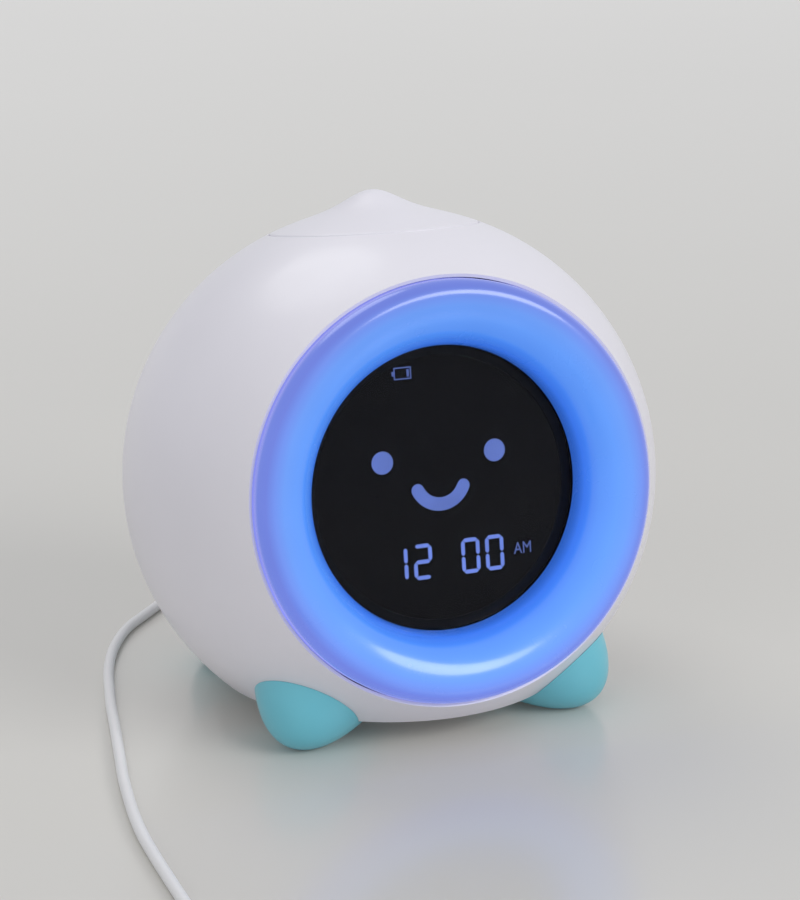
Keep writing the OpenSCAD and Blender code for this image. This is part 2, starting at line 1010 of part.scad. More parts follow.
module speaker_frame() {
    color("#3a3c42")
    in_face()
        translate([0, -grille_drop, 0])
            difference() {
                union() {
                    slab(-panel_in_q, -panel_in_q + speaker_flange_t)
                        circle(speaker_r);
                    translate([0, 0, -panel_in_q + speaker_flange_t - 0.01])
                        cylinder(h = 3.4, r1 = speaker_r - 1, r2 = speaker_r * 0.68);
                }
                translate([0, 0, -panel_in_q - 0.1])
                    cylinder(h = speaker_flange_t + 0.1, r = speaker_r - 2);
                translate([0, 0, -panel_in_q + speaker_flange_t - 0.02])
                    cylinder(h = 3.5, r1 = speaker_r - 2, r2 = speaker_r * 0.68 - 1.2);
            }
}

module speaker_cone() {
    inner = speaker_r - 2 - fit_gap;
    color("#18191c")
    in_face()
        translate([0, -grille_drop, -panel_in_q])
            rotate_extrude()
                polygon([
                    [inner, 0.5], [inner, 1.1], [inner - 1.2, 1.7], [inner - 2.4, 1.1],
                    [speaker_r * 0.28, 3.4], [0, 2.6], [0, 2], [speaker_r * 0.28, 2.8],
                    [inner - 2.4, 0.5], [inner - 1.2, 1.1]
                ]);
}

module speaker_magnet() {
    top = 4.6;
    color("#a7aab0")
    in_face()
        translate([0, -grille_drop, 0])
            slab(-panel_in_q + top, -panel_in_q + speaker_d)
                circle(speaker_r * 0.62);
}

module speaker_screws() {
    color("#9a9da3")
    in_face()
        translate([0, -grille_drop, 0])
            for (a = speaker_angles)
                polar(speaker_screw_r, a)
                    translate([0, 0, -panel_in_q + speaker_flange_t + 0.05])
                        rotate([180, 0, 0])
                            screw(0.8, speaker_flange_t + 0.5, 2.6, 1);
}

// ---------- battery

holder_l = cell_l + 4;
holder_w = 2 * cell_r + 3.6;
holder_z = base_h + wall;
cell_back = sqrt(pow(base_in_r - cell_clear, 2) - pow(holder_l / 2, 2)) - holder_w / 2;
cell_z = holder_z + 1.6 + cell_r;

module battery_cell() {
    color("#4a7fd0")
    under_ball()
        translate([-cell_l / 2, cell_back, cell_z])
            rotate([0, 90, 0]) {
                cylinder(h = cell_l - 1.5, r = cell_r);
                cylinder(h = cell_l, r = 3.2);
            }
}

module battery_holder() {
    color("#26282e")
    under_ball()
    difference() {
        translate([-holder_l / 2, cell_back - holder_w / 2, holder_z])
            cube([holder_l, holder_w, cell_r + 3]);
        translate([-cell_l / 2 - 1, cell_back, cell_z])
            rotate([0, 90, 0])
                cylinder(h = cell_l + 2, r = cell_r + fit_gap);
        translate([-cell_l / 2 - 1, cell_back - cell_r - fit_gap, cell_z])
            cube([cell_l + 2, 2 * (cell_r + fit_gap), 20]);
    }
}

module battery_contacts() {
    color("#c9ccd1")
    under_ball()
        for (side = [-1, 1])
            translate([side * (cell_l / 2 + 0.5) - 0.4, cell_back - 3, cell_z - 4])
                cube([0.8, 6, 8]);
}

// ---------- charging lead

module lead_plug_tip() {
    color("#c9ccd1")
    in_face()
        translate([0, -port_drop, 0])
            slab(-panel_q - 0.1, -panel_q + tip_l)
                stadium(tip_w, tip_h);
}

module lead_plug() {
    color("#f2f2f4")
    in_face()
        translate([0, -port_drop, 0]) {
            slab(-panel_q - 0.1, -panel_q - plug_l)
                stadium(plug_w, plug_h);
            slab(-panel_q - plug_l, -panel_q - plug_l - 0.8)
                stadium(plug_w - 1.2, plug_h - 1.2);
        }
}

boot_q = panel_q + plug_l + 0.8;
boot_end_q = boot_q + boot_l;

module lead_boot() {
    rib_count = 5;
    rib_pitch = boot_l / (rib_count + 0.5);
    color("#f2f2f4")
    in_face()
        translate([0, -port_drop, 0])
            rotate([180, 0, 0])
                translate([0, 0, boot_q]) {
                    cylinder(h = boot_l, r1 = lead_r + 0.9, r2 = lead_r + 0.25, $fn = 48);
                    for (i = [0:rib_count - 1])
                        translate([0, 0, i * rib_pitch])
                            cylinder(
                                h = rib_pitch * 0.55, r1 = lead_r + 1.25 - i * 0.14,
                                r2 = lead_r + 1.1 - i * 0.14, $fn = 48
                            );
                }
}

// Where the lead leaves its strain relief, and which way it points there
exit_at = from_ball(0, boot_end_q, -port_drop);
exit_way = [0, cos(lean), -sin(lean)];

// The lead's free stretch: round numbers, chosen by hand, on the floor from the eighth on
floor_z = lead_r;
lead_route = [
    [-1.5, 104, 20.5], [-6, 110.5, 16.5], [-13, 113.5, 11.5], [-21, 111.5, 7],
    [-28, 105.5, 4], [-34.5, 97.5, 2.3], [-41, 89.5, 1.8], [-47.5, 82, floor_z],
    [-54.5, 74.5, floor_z], [-62.5, 65.5, floor_z], [-69.5, 54, floor_z], [-75, 42, floor_z],
    [-79.5, 29, floor_z], [-83, 16, floor_z], [-86.5, 2.5, floor_z], [-89.5, -11, floor_z],
    [-92.5, -24, floor_z], [-95.5, -37, floor_z], [-98.5, -50, floor_z], [-101, -63, floor_z],
    [-103.2, -76, floor_z], [-104.8, -89, floor_z], [-105.7, -102, floor_z],
    [-106.3, -115, floor_z], [-106.8, -128, floor_z], [-107.2, -141, floor_z],
    [-107.5, -154, 1.8], [-107.6, -166, 2.1], [-107.6, -177, 2.3]
];

// The coil beyond the view: two layers of a spiral that winds in and then out again
coil_turns = 6.25;
coil_pitch = 3.9;
coil_layer = 3.9;
coil_mid_r = 19.6;
coil_lift = 0.7;
coil_half = coil_turns / 2;
coil_in_r = coil_mid_r - coil_pitch * coil_half / 2;
coil_out_r = coil_in_r + coil_pitch * coil_half;
coil_at = [-107.6 + coil_out_r, -188];
coil_z = coil_lift + lead_r;
coil_rings = 24;

function ramp(x) = x <= 0 ? 0 : x >= 1 ? 1 : x * x * (3 - 2 * x);
function coil_r(s) = let (d = abs(s - coil_half))
    coil_in_r + coil_pitch * (d < 0.25 ? 0.125 + 2 * d * d : d);
function coil_point(s) = let (a = 180 + 360 * s, r = coil_r(s)) [
    coil_at[0] + r * cos(a),
    coil_at[1] + r * sin(a),
    coil_z + coil_layer * ramp((s - coil_half + 0.25) / 0.5)
];
coil_start = coil_point(0) + [0, lead_d, 0];
coil_end = coil_point(coil_turns) + [lead_d, 0, 0];
coil_points = concat(
    [coil_start],
    [for (i = [0:coil_turns * coil_rings]) coil_point(i / coil_rings)],
    [coil_end]
);

// Least gap of the coil to itself
coil_gap = min([
    for (i = [0:len(coil_points) - 1])
        for (j = [i + coil_rings / 2:1:len(coil_points) - 1])
            norm(coil_points[i] - coil_points[j])
]) - lead_d;
echo(coil_gap = coil_gap);

// The charger plug lies beside the coil, along X
usb_at = [-46, coil_end[1] + 1, usb_h / 2];
tail_route = [
    coil_end,
    coil_end + [lead_d, 0, 0],
    [coil_end[0] + 8, coil_end[1] + 0.2, 5.6],
    [coil_end[0] + 14, coil_end[1] + 0.6, 4.7],
    [usb_at[0] - 15, usb_at[1], 4.1],
    [usb_at[0] - 12, usb_at[1], usb_at[2]],
    [usb_at[0] - 12 + lead_d, usb_at[1], usb_at[2]]
];

function unit(v) = v / norm(v);

// One step of a smooth curve through four route points
function smooth(a, b, c, d, t) = 0.5 * (
    2 * b + (c - a) * t + (2 * a - 5 * b + 4 * c - d) * t * t + (3 * b - a - 3 * c + d) * t * t * t
);

function refine(route, steps) = let (n = len(route)) concat(
    [for (i = [0:n - 2]) for (k = [0:steps - 1])
        smooth(route[max(i - 1, 0)], route[i], route[i + 1], route[min(i + 2, n - 1)], k / steps)],
    [route[n - 1]]
);

function heading(line, i) = let (n = len(line))
    unit(line[min(i + 1, n - 1)] - line[max(i - 1, 0)]);

// A tube of flat sides swept along a line of points
module tube(line, r, sides) {
    n = len(line);
    rings = [for (i = [0:n - 1]) let (
        way = heading(line, i),
        across = unit(cross(way, [0, 0, 1])),
        rise = cross(across, way)
    ) [for (k = [0:sides - 1]) let (a = 360 * (k + 0.5) / sides)
        line[i] + r * (cos(a) * across + sin(a) * rise)]];
    points = [for (ring = rings) for (p = ring) p];
    faces = concat(
        [[for (k = [0:sides - 1]) k]],
        [for (i = [0:n - 2]) for (k = [0:sides - 1]) let (
            k2 = (k + 1) % sides, a = i * sides, b = a + sides
        ) [a + k, b + k, a + k2]],
        [for (i = [0:n - 2]) for (k = [0:sides - 1]) let (
            k2 = (k + 1) % sides, a = i * sides, b = a + sides
        ) [a + k2, b + k, b + k2]],
        [[for (k = [sides - 1:-1:0]) (n - 1) * sides + k]]
    );
    polyhedron(points, faces, convexity = 10);
}

module lead_cord() {
    color("#f4f4f6")
        tube(
            refine(concat(
                [exit_at, exit_at + exit_way * lead_d, exit_at + exit_way * 3 * lead_d],
                lead_route, [coil_start + [0, lead_d, 0], coil_start]
            ), 2),
            lead_r, 8
        );
}

module lead_coil() {
    color("#f4f4f6")
        tube(coil_points, lead_r, 6);
}

module lead_tail() {
    color("#f4f4f6")
        tube(refine(tail_route, 2), lead_r, 8);
}

// A strap round the bundle's section, on the coil's right
module coil_tie() {
    tie_t = 0.6;
    in_r = coil_in_r - lead_r - 0.5;
    out_r = coil_out_r + lead_r + 0.5;
    top = coil_z + coil_layer + lead_r + 0.3;
    color("#2f3136")
    translate([coil_at[0], coil_at[1], 0])
        rotate(30)
            difference() {
                translate([in_r - tie_t, -3.5, 0.05])
                    cube([out_r - in_r + 2 * tie_t, 7, top + tie_t - 0.05]);
                translate([in_r, -5, coil_lift - 0.05])
                    cube([out_r - in_r, 10, top - coil_lift + 0.05]);
            }
}

module charger_plug() {
    color("#f2f2f4")
    translate([usb_at[0] - 12 + lead_d, usb_at[1], usb_at[2]])
        rotate([90, 0, 90]) {
            cylinder(h = 12 - lead_d, r1 = lead_r + 0.3, r2 = lead_r + 1.2, $fn = 48);
            translate([0, 0, 12 - lead_d])
                linear_extrude(usb_l)
                    intersection() {
                        square([usb_w, usb_h], center = true);
                        circle(usb_w / 2 + 0.6);
                    }
        }
}

module charger_plug_shell() {
    shell_l = 12;
    color("#c9ccd1")
    translate([usb_at[0] + usb_l, usb_at[1], usb_at[2]])
        rotate([90, 0, 90])
            difference() {
                translate([-6, -2.25, 0])
                    cube([12, 4.5, shell_l]);
                translate([-5.7, -1.95, 1])
                    cube([11.4, 2.2, shell_l]);
            }
}

front_shell();
rear_shell();
light_ring();
ring_tray();
ring_board();
ring_leds();
tray_screws();
screen_frame();
screen_window();
lcd_panel();
display_board();
board_chips();
display_screws();
top_cap();
cap_carrier();
carrier_screws();
snooze_switch();
foot_left();
foot_right();
rear_foot_left();
rear_foot_right();
foot_screws();
rear_panel();
panel_screws();
control_board();
button_switches();
board_screws();
button_light();
button_sound();
button_alarm();
button_minus();
button_clock();
button_plus();
speaker_frame();
speaker_cone();
speaker_magnet();
speaker_screws();
battery_cell();
battery_holder();
battery_contacts();
charge_socket();
case_screws();
lead_plug();
lead_plug_tip();
lead_boot();
lead_cord();
lead_coil();
coil_tie();
lead_tail();
charger_plug();
charger_plug_shell();
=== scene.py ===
"""Looks of a bedside night-light clock, laid out as an add-on and run as a script."""

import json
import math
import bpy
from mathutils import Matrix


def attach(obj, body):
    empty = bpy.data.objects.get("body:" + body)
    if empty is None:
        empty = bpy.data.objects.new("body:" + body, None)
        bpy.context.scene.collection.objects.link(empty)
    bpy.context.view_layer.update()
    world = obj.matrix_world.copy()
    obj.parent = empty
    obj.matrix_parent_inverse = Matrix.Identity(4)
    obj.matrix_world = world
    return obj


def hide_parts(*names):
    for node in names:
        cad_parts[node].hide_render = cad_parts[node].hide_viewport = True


bl_info = {
    "name": "Bedside Night-Light Clock",
    "version": (1, 0, 0),
    "blender": (4, 5, 0),
    "location": "View3D > Sidebar > Clock",
    "description": "Dresses the packed model of a bedside night-light clock",
    "category": "Object",
}

import bmesh
import bpy
from mathutils import Matrix, Vector

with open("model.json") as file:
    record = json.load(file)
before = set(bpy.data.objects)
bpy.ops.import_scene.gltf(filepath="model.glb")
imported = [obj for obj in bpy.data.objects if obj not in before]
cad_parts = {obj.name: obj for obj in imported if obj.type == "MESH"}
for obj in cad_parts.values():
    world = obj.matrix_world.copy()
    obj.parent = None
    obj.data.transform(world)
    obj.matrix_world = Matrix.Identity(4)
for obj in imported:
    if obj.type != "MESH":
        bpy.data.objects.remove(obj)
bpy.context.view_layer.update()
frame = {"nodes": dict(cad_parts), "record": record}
MM = 0.001


# ---------------------------------------------------------------- settings


def length(name, description, mm):
    return bpy.props.FloatProperty(
        name=name, description=description, default=mm * MM, unit="LENGTH", subtype="DISTANCE"
    )


def turn(name, description, degrees):
    return bpy.props.FloatProperty(
        name=name, description=description, default=math.radians(degrees),
        unit="ROTATION", subtype="ANGLE",
    )


def linear(code):
    """A colour written as six hex digits, as scene-linear numbers."""
    parts = [int(code[i : i + 2], 16) / 255 for i in (0, 2, 4)]
    return tuple(c / 12.92 if c <= 0.04045 else ((c + 0.055) / 1.055) ** 2.4 for c in parts)


def colour(name, description, code):
    return bpy.props.FloatVectorProperty(
        name=name, description=description, default=linear(code), subtype="COLOR",
        size=3, min=0, max=1,
    )


class ClockSizes(bpy.types.PropertyGroup):
    ball_r: length("Ball radius", "Outer radius of the two shells", 80)
    sink: length("Sink", "How far the ball's full round would pass below the floor", 12.6)
    lean: turn("Lean", "Backward lean of the ball", 9.1)
    base_h: length("Base height", "Height of the ball's flat underside", 8.3)
    rim_r: length("Rim radius", "Radius of the front opening", 61)
    show_gap: length("Show gap", "Running gap round the show pieces", 0.3)
    ring_rise: length("Ring rise", "Height of the ring's crest over the rim", 4.2)
    crest_r: length("Crest radius", "Radius of the ring's crest", 55.8)
    ring_in_r: length("Ring inner radius", "Inner radius of the light ring", 41.3)
    ring_drop: length("Ring drop", "Depth of the ring's inner edge below the rim", 9.6)
    ring_wall: length("Ring wall", "Wall of the diffuser", 2.2)
    window_drop: length("Window drop", "Depth of the window below the ring's inner edge", 1.2)
    window_t: length("Window thickness", "Thickness of the clear window", 1.2)
    digit_w: length("Digit width", "Width of one figure of the time", 5.8)
    digit_h: length("Digit height", "Height of one figure of the time", 10.4)
    bar_w: length("Bar width", "Width of one bar of a figure", 1.15)
    cap_r: length("Cap radius", "Radius of the press-down cap", 31.1)
    cap_wall: length("Cap wall", "Wall of the cap", 2.1)
    cap_flange: length("Cap flange", "Width of the cap's retaining flange", 1.9)
    peak_rise: length("Peak rise", "Height of the cap's peak over the ball", 5)
    peak_w: length("Peak spread", "Spread of the cap's peak", 10)
    foot_a: length("Front foot half length", "Half length of a front foot's spheroid", 60)
    foot_b: length("Front foot half width", "Half width of a front foot's spheroid", 25.1)
    foot_inset: length("Front foot inset", "Front foot's middle inside the ball's outline", 60.7)
    foot_yaw: turn("Front foot direction", "Turn of a front foot from straight ahead", 47.8)
    foot_pitch: turn("Foot slope", "Downward slope of the feet", 37.6)
    rear_foot_a: length("Rear foot half length", "Half length of a rear foot's spheroid", 34)
    rear_foot_b: length("Rear foot half width", "Half width of a rear foot's spheroid", 17)
    rear_foot_inset: length("Rear foot inset", "Rear foot's middle inside the ball's outline", 44)
    rear_foot_yaw: turn("Rear foot direction", "Turn of a rear foot from straight back", 51)
    foot_flat: length("Foot flat", "Depth of the flat that a foot stands on", 0.7)
    panel_r: length("Panel radius", "Radius of the rear control panel", 36.6)
    panel_inset: length("Panel inset", "Depth of the panel inside the ball's outline", 1.6)
    panel_t: length("Panel thickness", "Thickness of the rear panel", 2.4)
    board_drop: length("Board drop", "Depth from the panel to the control board", 8.4)
    button_r: length("Button radius", "Radius of a button's top", 4.2)
    button_h: length("Button height", "Height of a button over the panel", 1.6)
    button_dx: length("Button spacing", "Spacing of the buttons across", 15)
    button_row: length("Button row", "Height of the lower row of buttons", 12.5)
    button_dz: length("Row spacing", "Spacing of the two rows of buttons", 11.5)


class LeadSizes(bpy.types.PropertyGroup):
    lead_d: length("Lead diameter", "Diameter of the charging lead", 3.3)
    port_drop: length("Port drop", "Charging socket below the panel's centre", 28)
    plug_l: length("Plug length", "Length of the plug's handle", 17)
    plug_w: length("Plug width", "Width of the plug's handle", 12)
    plug_h: length("Plug height", "Height of the plug's handle", 6.6)
    boot_l: length("Strain relief length", "Length of the strain relief", 14)
    coil_r: length("Coil radius", "Radius at the middle of the coil's turns", 19.6)
    coil_pitch: length("Coil pitch", "Spacing of the coil's turns", 3.9)
    coil_turns: bpy.props.FloatProperty(
        name="Coil turns", description="Turns of the coil, in two layers", default=6.25
    )
    usb_l: length("Charger plug length", "Length of the charger plug's handle", 28)
    usb_w: length("Charger plug width", "Width of the charger plug's handle", 15.6)
    usb_h: length("Charger plug height", "Height of the charger plug's handle", 8)


class ClockColours(bpy.types.PropertyGroup):
    shell: colour("Shell", "Satin white of the two shells and the cap", "F2F0F8")
    ring_body: colour("Ring", "The diffuser's own blue, under its light", "1B2C66")
    ring_mid: colour("Ring light", "Light in the middle of the ring", "5C9EFF")
    ring_in: colour("Ring inner light", "Light at the ring's inner edge", "3B7AF0")
    ring_out: colour("Ring outer light", "Light at the ring's outer edge", "6A7EDC")
    ring_edge: colour("Ring edge light", "Light that leaves the ring's side in its gap", "8C92E6")
    figures: colour("Figures", "Lit figures of the display", "7F9BF5")
    feet: colour("Feet", "Satin teal of the feet and buttons", "73CDDF")
    lead: colour("Lead", "White of the charging lead", "F1F1F2")
    floor: colour("Floor", "The plain floor", "D6D4CE")


def sizes():
    return bpy.context.scene.clock_sizes


def lead_sizes():
    return bpy.context.scene.clock_lead


def colours():
    return bpy.context.scene.clock_colours


# ---------------------------------------------------------------- places


def at(x=0, y=0, z=0):
    return Matrix.Translation((x, y, z))


def turned(angle, axis="Z"):
    return Matrix.Rotation(angle, 4, axis)


def rim_p(s):
    return math.sqrt(s.ball_r**2 - s.rim_r**2)


def inner_p(s):
    return rim_p(s) - s.ring_drop


def window_p(s):
    return inner_p(s) - s.window_drop


def panel_q(s):
    return math.sqrt(s.ball_r**2 - (s.panel_r + s.show_gap) ** 2) - s.panel_inset


def ball_y(s):
    """The ball's centre stands a little off the middle of the whole clock."""
    front = s.crest_r * math.sin(s.lean) + (rim_p(s) + s.ring_rise) * math.cos(s.lean)
    hole = math.asin((s.panel_r + s.show_gap) / s.ball_r)
    return (front - s.ball_r * math.cos(hole - s.lean)) / 2


def under_ball(s):
    return at(y=ball_y(s))


def ball_middle(s):
    return under_ball(s) @ at(z=s.ball_r - s.sink)


def body_axes(s):
    return ball_middle(s) @ turned(-s.lean, "X")


def face_axes(s):
    """X to the right, Y up the face, Z straight out of it."""
    return body_axes(s) @ turned(math.pi / 2, "X")


def rear_axes(s):
    """The same for someone who looks at the back: Z straight out behind."""
    return face_axes(s) @ turned(math.pi, "Y")


# ---------------------------------------------------------------- modelling

# Faces that meet at more than this angle keep a sharp edge in their shading
SHARP = math.radians(32)


def mm(*values):
    """Millimetres as lengths of the scene."""
    return tuple(value * MM for value in values)


def smooth(mesh):
    mesh.shade_smooth()
    mesh.set_sharp_from_angle(angle=SHARP)


def new_piece(name, bm, body, look, replaces=()):
    """Makes an object of a bmesh with its finish, riding on a body; the nodes it replaces are
    hidden.
    """
    mesh = bpy.data.meshes.new(name)
    bm.to_mesh(mesh)
    bm.free()
    smooth(mesh)
    piece = bpy.data.objects.new(name, mesh)
    bpy.context.scene.collection.objects.link(piece)
    mesh.materials.append(finish(look))
    if body:
        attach(piece, body)
    if replaces:
        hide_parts(*replaces)
    return piece


def add_to(bm, made, place):
    """Puts what another bmesh holds into this one, at its place."""
    bmesh.ops.transform(made, matrix=place, verts=made.verts)
    mesh = bpy.data.meshes.new("passing")
    made.to_mesh(mesh)
    made.free()
    bm.from_mesh(mesh)
    bpy.data.meshes.remove(mesh)


def bevel(bm, geom, offset, segments, affect="EDGES", clamp=False):
    bmesh.ops.bevel(
        bm, geom=geom, offset=offset, affect=affect, segments=segments, profile=0.5,
        material=-1, clamp_overlap=clamp,
    )


def soften(bm, width, segments=3, angle=40, where=None):
    """Rounds the edges that are sharper than an angle in degrees."""
    edges = [
        e for e in bm.edges
        if len(e.link_faces) == 2
        and e.calc_face_angle(0) > math.radians(angle)
        and (where is None or where(e))
    ]
    if edges:
        bevel(bm, edges, width, segments, clamp=True)


def lathe(bm, points, place, steps=160, closed=True, round_at=None):
    """Turns a profile of (radius, height), some of whose corners are given a radius."""
    made = bmesh.new()
    verts = [made.verts.new((r, 0, z)) for r, z in points]
    for pair in zip(verts, verts[1:] + verts[:1] if closed else verts[1:]):
        made.edges.new(pair)
    for index, radius in (round_at or {}).items():
        bevel(made, [verts[index]], radius, 5, "VERTICES")
    bmesh.ops.spin(
        made, geom=made.verts[:] + made.edges[:], cent=(0, 0, 0), axis=(0, 0, 1),
        dvec=(0, 0, 0), angle=2 * math.pi, steps=steps, use_merge=True, use_duplicate=False,
    )
    bmesh.ops.remove_doubles(made, verts=made.verts, dist=1e-7)
    bmesh.ops.recalc_face_normals(made, faces=made.faces)
    add_to(bm, made, place)


def disc(bm, radius, thickness, place, steps=48):
    lathe(bm, [(0, 0), (radius, 0), (radius, thickness), (0, thickness)], place, steps, False)


def cuboid(size):
    made = bmesh.new()
    bmesh.ops.create_cube(made, size=1)
    bmesh.ops.scale(made, vec=size, verts=made.verts)
    return made


def edges_along(bm, axis):
    """The long edges that run along an axis, 0 to 2."""
    return [e for e in bm.edges if abs((e.verts[0].co - e.verts[1].co)[axis]) > 1 * MM]


def block(bm, size, place, round_by=0, segments=3):
    """A block with all its edges rounded."""
    made = cuboid(size)
    if round_by:
        soften(made, round_by, segments)
    add_to(bm, made, place)


def plate(bm, outline, thickness, place):
    """A flat outline of points, counter-clockwise, raised to a thickness."""
    made = bmesh.new()
    face = made.faces.new([made.verts.new((x, y, 0)) for x, y in outline])
    grown = bmesh.ops.extrude_face_region(made, geom=[face])["geom"]
    tops = [g for g in grown if isinstance(g, bmesh.types.BMVert)]
    bmesh.ops.translate(made, verts=tops, vec=(0, 0, thickness))
    bmesh.ops.recalc_face_normals(made, faces=made.faces)
    add_to(bm, made, place)


def arc(centre_r, centre_z, radius_r, radius_z, first, last, steps):
    """Points of an ellipse from one angle to another, in degrees."""
    angles = [math.radians(first + (last - first) * i / steps) for i in range(steps + 1)]
    return [
        (centre_r + radius_r * math.cos(a), centre_z + radius_z * math.sin(a)) for a in angles
    ]


def slice_off(bm, point, normal):
    """Cuts away the side that the normal points to, and closes the cut."""
    cut_edges = bmesh.ops.bisect_plane(
        bm, geom=bm.verts[:] + bm.edges[:] + bm.faces[:], dist=1e-7, plane_co=point,
        plane_no=normal, clear_outer=True,
    )["geom_cut"]
    edges = [g for g in cut_edges if isinstance(g, bmesh.types.BMEdge)]
    bmesh.ops.edgeloop_fill(bm, edges=edges)
    bmesh.ops.recalc_face_normals(bm, faces=bm.faces)


def evaluated(item):
    graph = bpy.context.evaluated_depsgraph_get()
    return bpy.data.meshes.new_from_object(item.evaluated_get(graph))


def cut(piece, cutter):
    """Cuts a piece by another object, which is then removed."""
    step = piece.modifiers.new("cut", "BOOLEAN")
    step.solver = "EXACT"
    step.operation = "DIFFERENCE"
    step.object = cutter
    mesh = evaluated(piece)
    piece.modifiers.remove(step)
    old, piece.data = piece.data, mesh
    mesh.name = piece.name
    bpy.data.meshes.remove(old)
    bpy.data.objects.remove(cutter)
    smooth(mesh)


# ---------------------------------------------------------------- shader parts


class Nodes:
    """A node tree, with short ways to place its nodes and link them."""

    def __init__(self, tree):
        self.tree = tree

    def feed(self, socket, value):
        """Links a socket, or fills it with a number, vector or colour."""
        if isinstance(value, bpy.types.NodeSocket):
            self.tree.links.new(value, socket)
        else:
            socket.default_value = (*value, 1) if socket.type == "RGBA" else value

    def put(self, kind, inputs=None, **settings):
        made = self.tree.nodes.new("ShaderNode" + kind)
        for name, value in settings.items():
            setattr(made, name, value)
        for name, value in (inputs or {}).items():
            self.feed(made.inputs[name], value)
        return made.outputs

    def noise(self, where, scale, detail, distortion=0.0):
        return self.put("TexNoise", {
            "Vector": where, "Scale": scale, "Detail": detail, "Distortion": distortion,
        })["Fac"]

    def spread(self, value, low, high, to_low, to_high):
        return self.put("MapRange", {
            "Value": value, "From Min": low, "From Max": high, "To Min": to_low, "To Max": to_high,
        }, clamp=True)["Result"]

    def math(self, operation, first, second=0.0):
        return self.put("Math", {0: first, 1: second}, operation=operation)[0]

    def times(self, first, second):
        return self.math("MULTIPLY", first, second)

    def plus(self, first, second):
        return self.math("ADD", first, second)

    def blend(self, factor, first, second):
        return self.put("Mix", {0: factor, 6: first, 7: second}, data_type="RGBA")[2]

    def group(self, tree, inputs):
        return self.put("Group", inputs, node_tree=tree)

    def ramp(self, factor, stops):
        made = self.tree.nodes.new("ShaderNodeValToRGB")
        self.feed(made.inputs["Fac"], factor)
        points = made.color_ramp.elements
        while len(points) < len(stops):
            points.new(0.5)
        for point, (place, tint) in zip(points, stops):
            point.position = place
            point.color = (*tint, 1)
        return made.outputs["Color"]

    def seen(self):
        """1 for rays that look straight, by gloss or through glass, and 0 for light."""
        path = self.put("LightPath")
        straight = self.plus(path["Is Camera Ray"], path["Is Glossy Ray"])
        return self.plus(straight, path["Is Transmission Ray"])


class Finish(Nodes):
    """A material with its shader's inputs and the object's own coordinates."""

    def __init__(self, name):
        self.material = bpy.data.materials.new(name)
        self.material.use_nodes = True
        super().__init__(self.material.node_tree)
        self.shader = self.tree.nodes["Principled BSDF"].inputs
        self.where = self.put("TexCoord")["Object"]

    def bump(self, height, distance, strength=0.5):
        return self.put(
            "Bump", {"Height": height, "Distance": distance, "Strength": strength}
        )["Normal"]

    def done(self, inputs):
        """Feeds the shader and hands over the material."""
        for name, value in inputs.items():
            self.feed(self.shader[name], value)
        return self.material


def shared_group(name, inputs, outputs, build):
    """A shader group made once, whose inputs are given with their defaults."""
    tree = bpy.data.node_groups.get(name)
    if tree:
        return tree
    tree = bpy.data.node_groups.new(name, "ShaderNodeTree")
    tree.interface.new_socket("Vector", in_out="INPUT", socket_type="NodeSocketVector")
    for label, default in inputs.items():
        kind = "Float" if isinstance(default, float) else "Color"
        socket = tree.interface.new_socket(label, in_out="INPUT", socket_type="NodeSocket" + kind)
        socket.default_value = default
    for label, kind in outputs.items():
        tree.interface.new_socket(label, in_out="OUTPUT", socket_type="NodeSocket" + kind)
    nodes = Nodes(tree)
    given = tree.nodes.new("NodeGroupInput").outputs
    sink = tree.nodes.new("NodeGroupOutput").inputs
    for label, value in build(nodes, given).items():
        nodes.feed(sink[label], value)
    return tree


def moulded_group():
    """Moulded plastic: faint mottling, handling marks and a fine spark-eroded grain."""

    def build(nodes, given):
        cloud = nodes.noise(given["Vector"], 22.0, 3.0)
        marks = nodes.noise(given["Vector"], 75.0, 5.0, 1.6)
        grain = nodes.noise(given["Vector"], given["Grain Scale"], 2.0)
        shade = nodes.times(nodes.spread(cloud, 0.3, 0.7, 1.0, 0.0), given["Mottle"])
        rub = nodes.times(nodes.spread(marks, 0.42, 0.66, 0.0, 1.0), given["Marks"])
        rough = nodes.plus(nodes.plus(given["Roughness"], rub), nodes.times(grain, 0.06))
        tone = nodes.blend(shade, given["Color"], given["Shade Color"])
        return {"Color": tone, "Roughness": rough, "Height": grain}

    return shared_group(
        "moulded_surface",
        {
            "Color": (0.8, 0.8, 0.8, 1), "Shade Color": (0.7, 0.7, 0.7, 1), "Mottle": 0.3,
            "Roughness": 0.4, "Marks": 0.06, "Grain Scale": 2500.0,
        },
        {"Color": "Color", "Roughness": "Float", "Height": "Float"},
        build,
    )


def near_floor_group():
    """A mask near the floor that fades with height, broken by noise."""

    def build(nodes, given):
        height = nodes.put("SeparateXYZ", {"Vector": given["Vector"]})["Z"]
        reach = nodes.times(nodes.noise(given["Vector"], 260.0, 6.0), given["Reach"])
        near = nodes.spread(height, 0.0, reach, 1.0, 0.0)
        return {"Mask": nodes.times(near, given["Amount"])}

    return shared_group(
        "near_floor_mask",
        {"Reach": 0.004, "Amount": 0.5},
        {"Mask": "Float"},
        build,
    )


def shaded(tint, by):
    return tuple(c * by for c in tint)


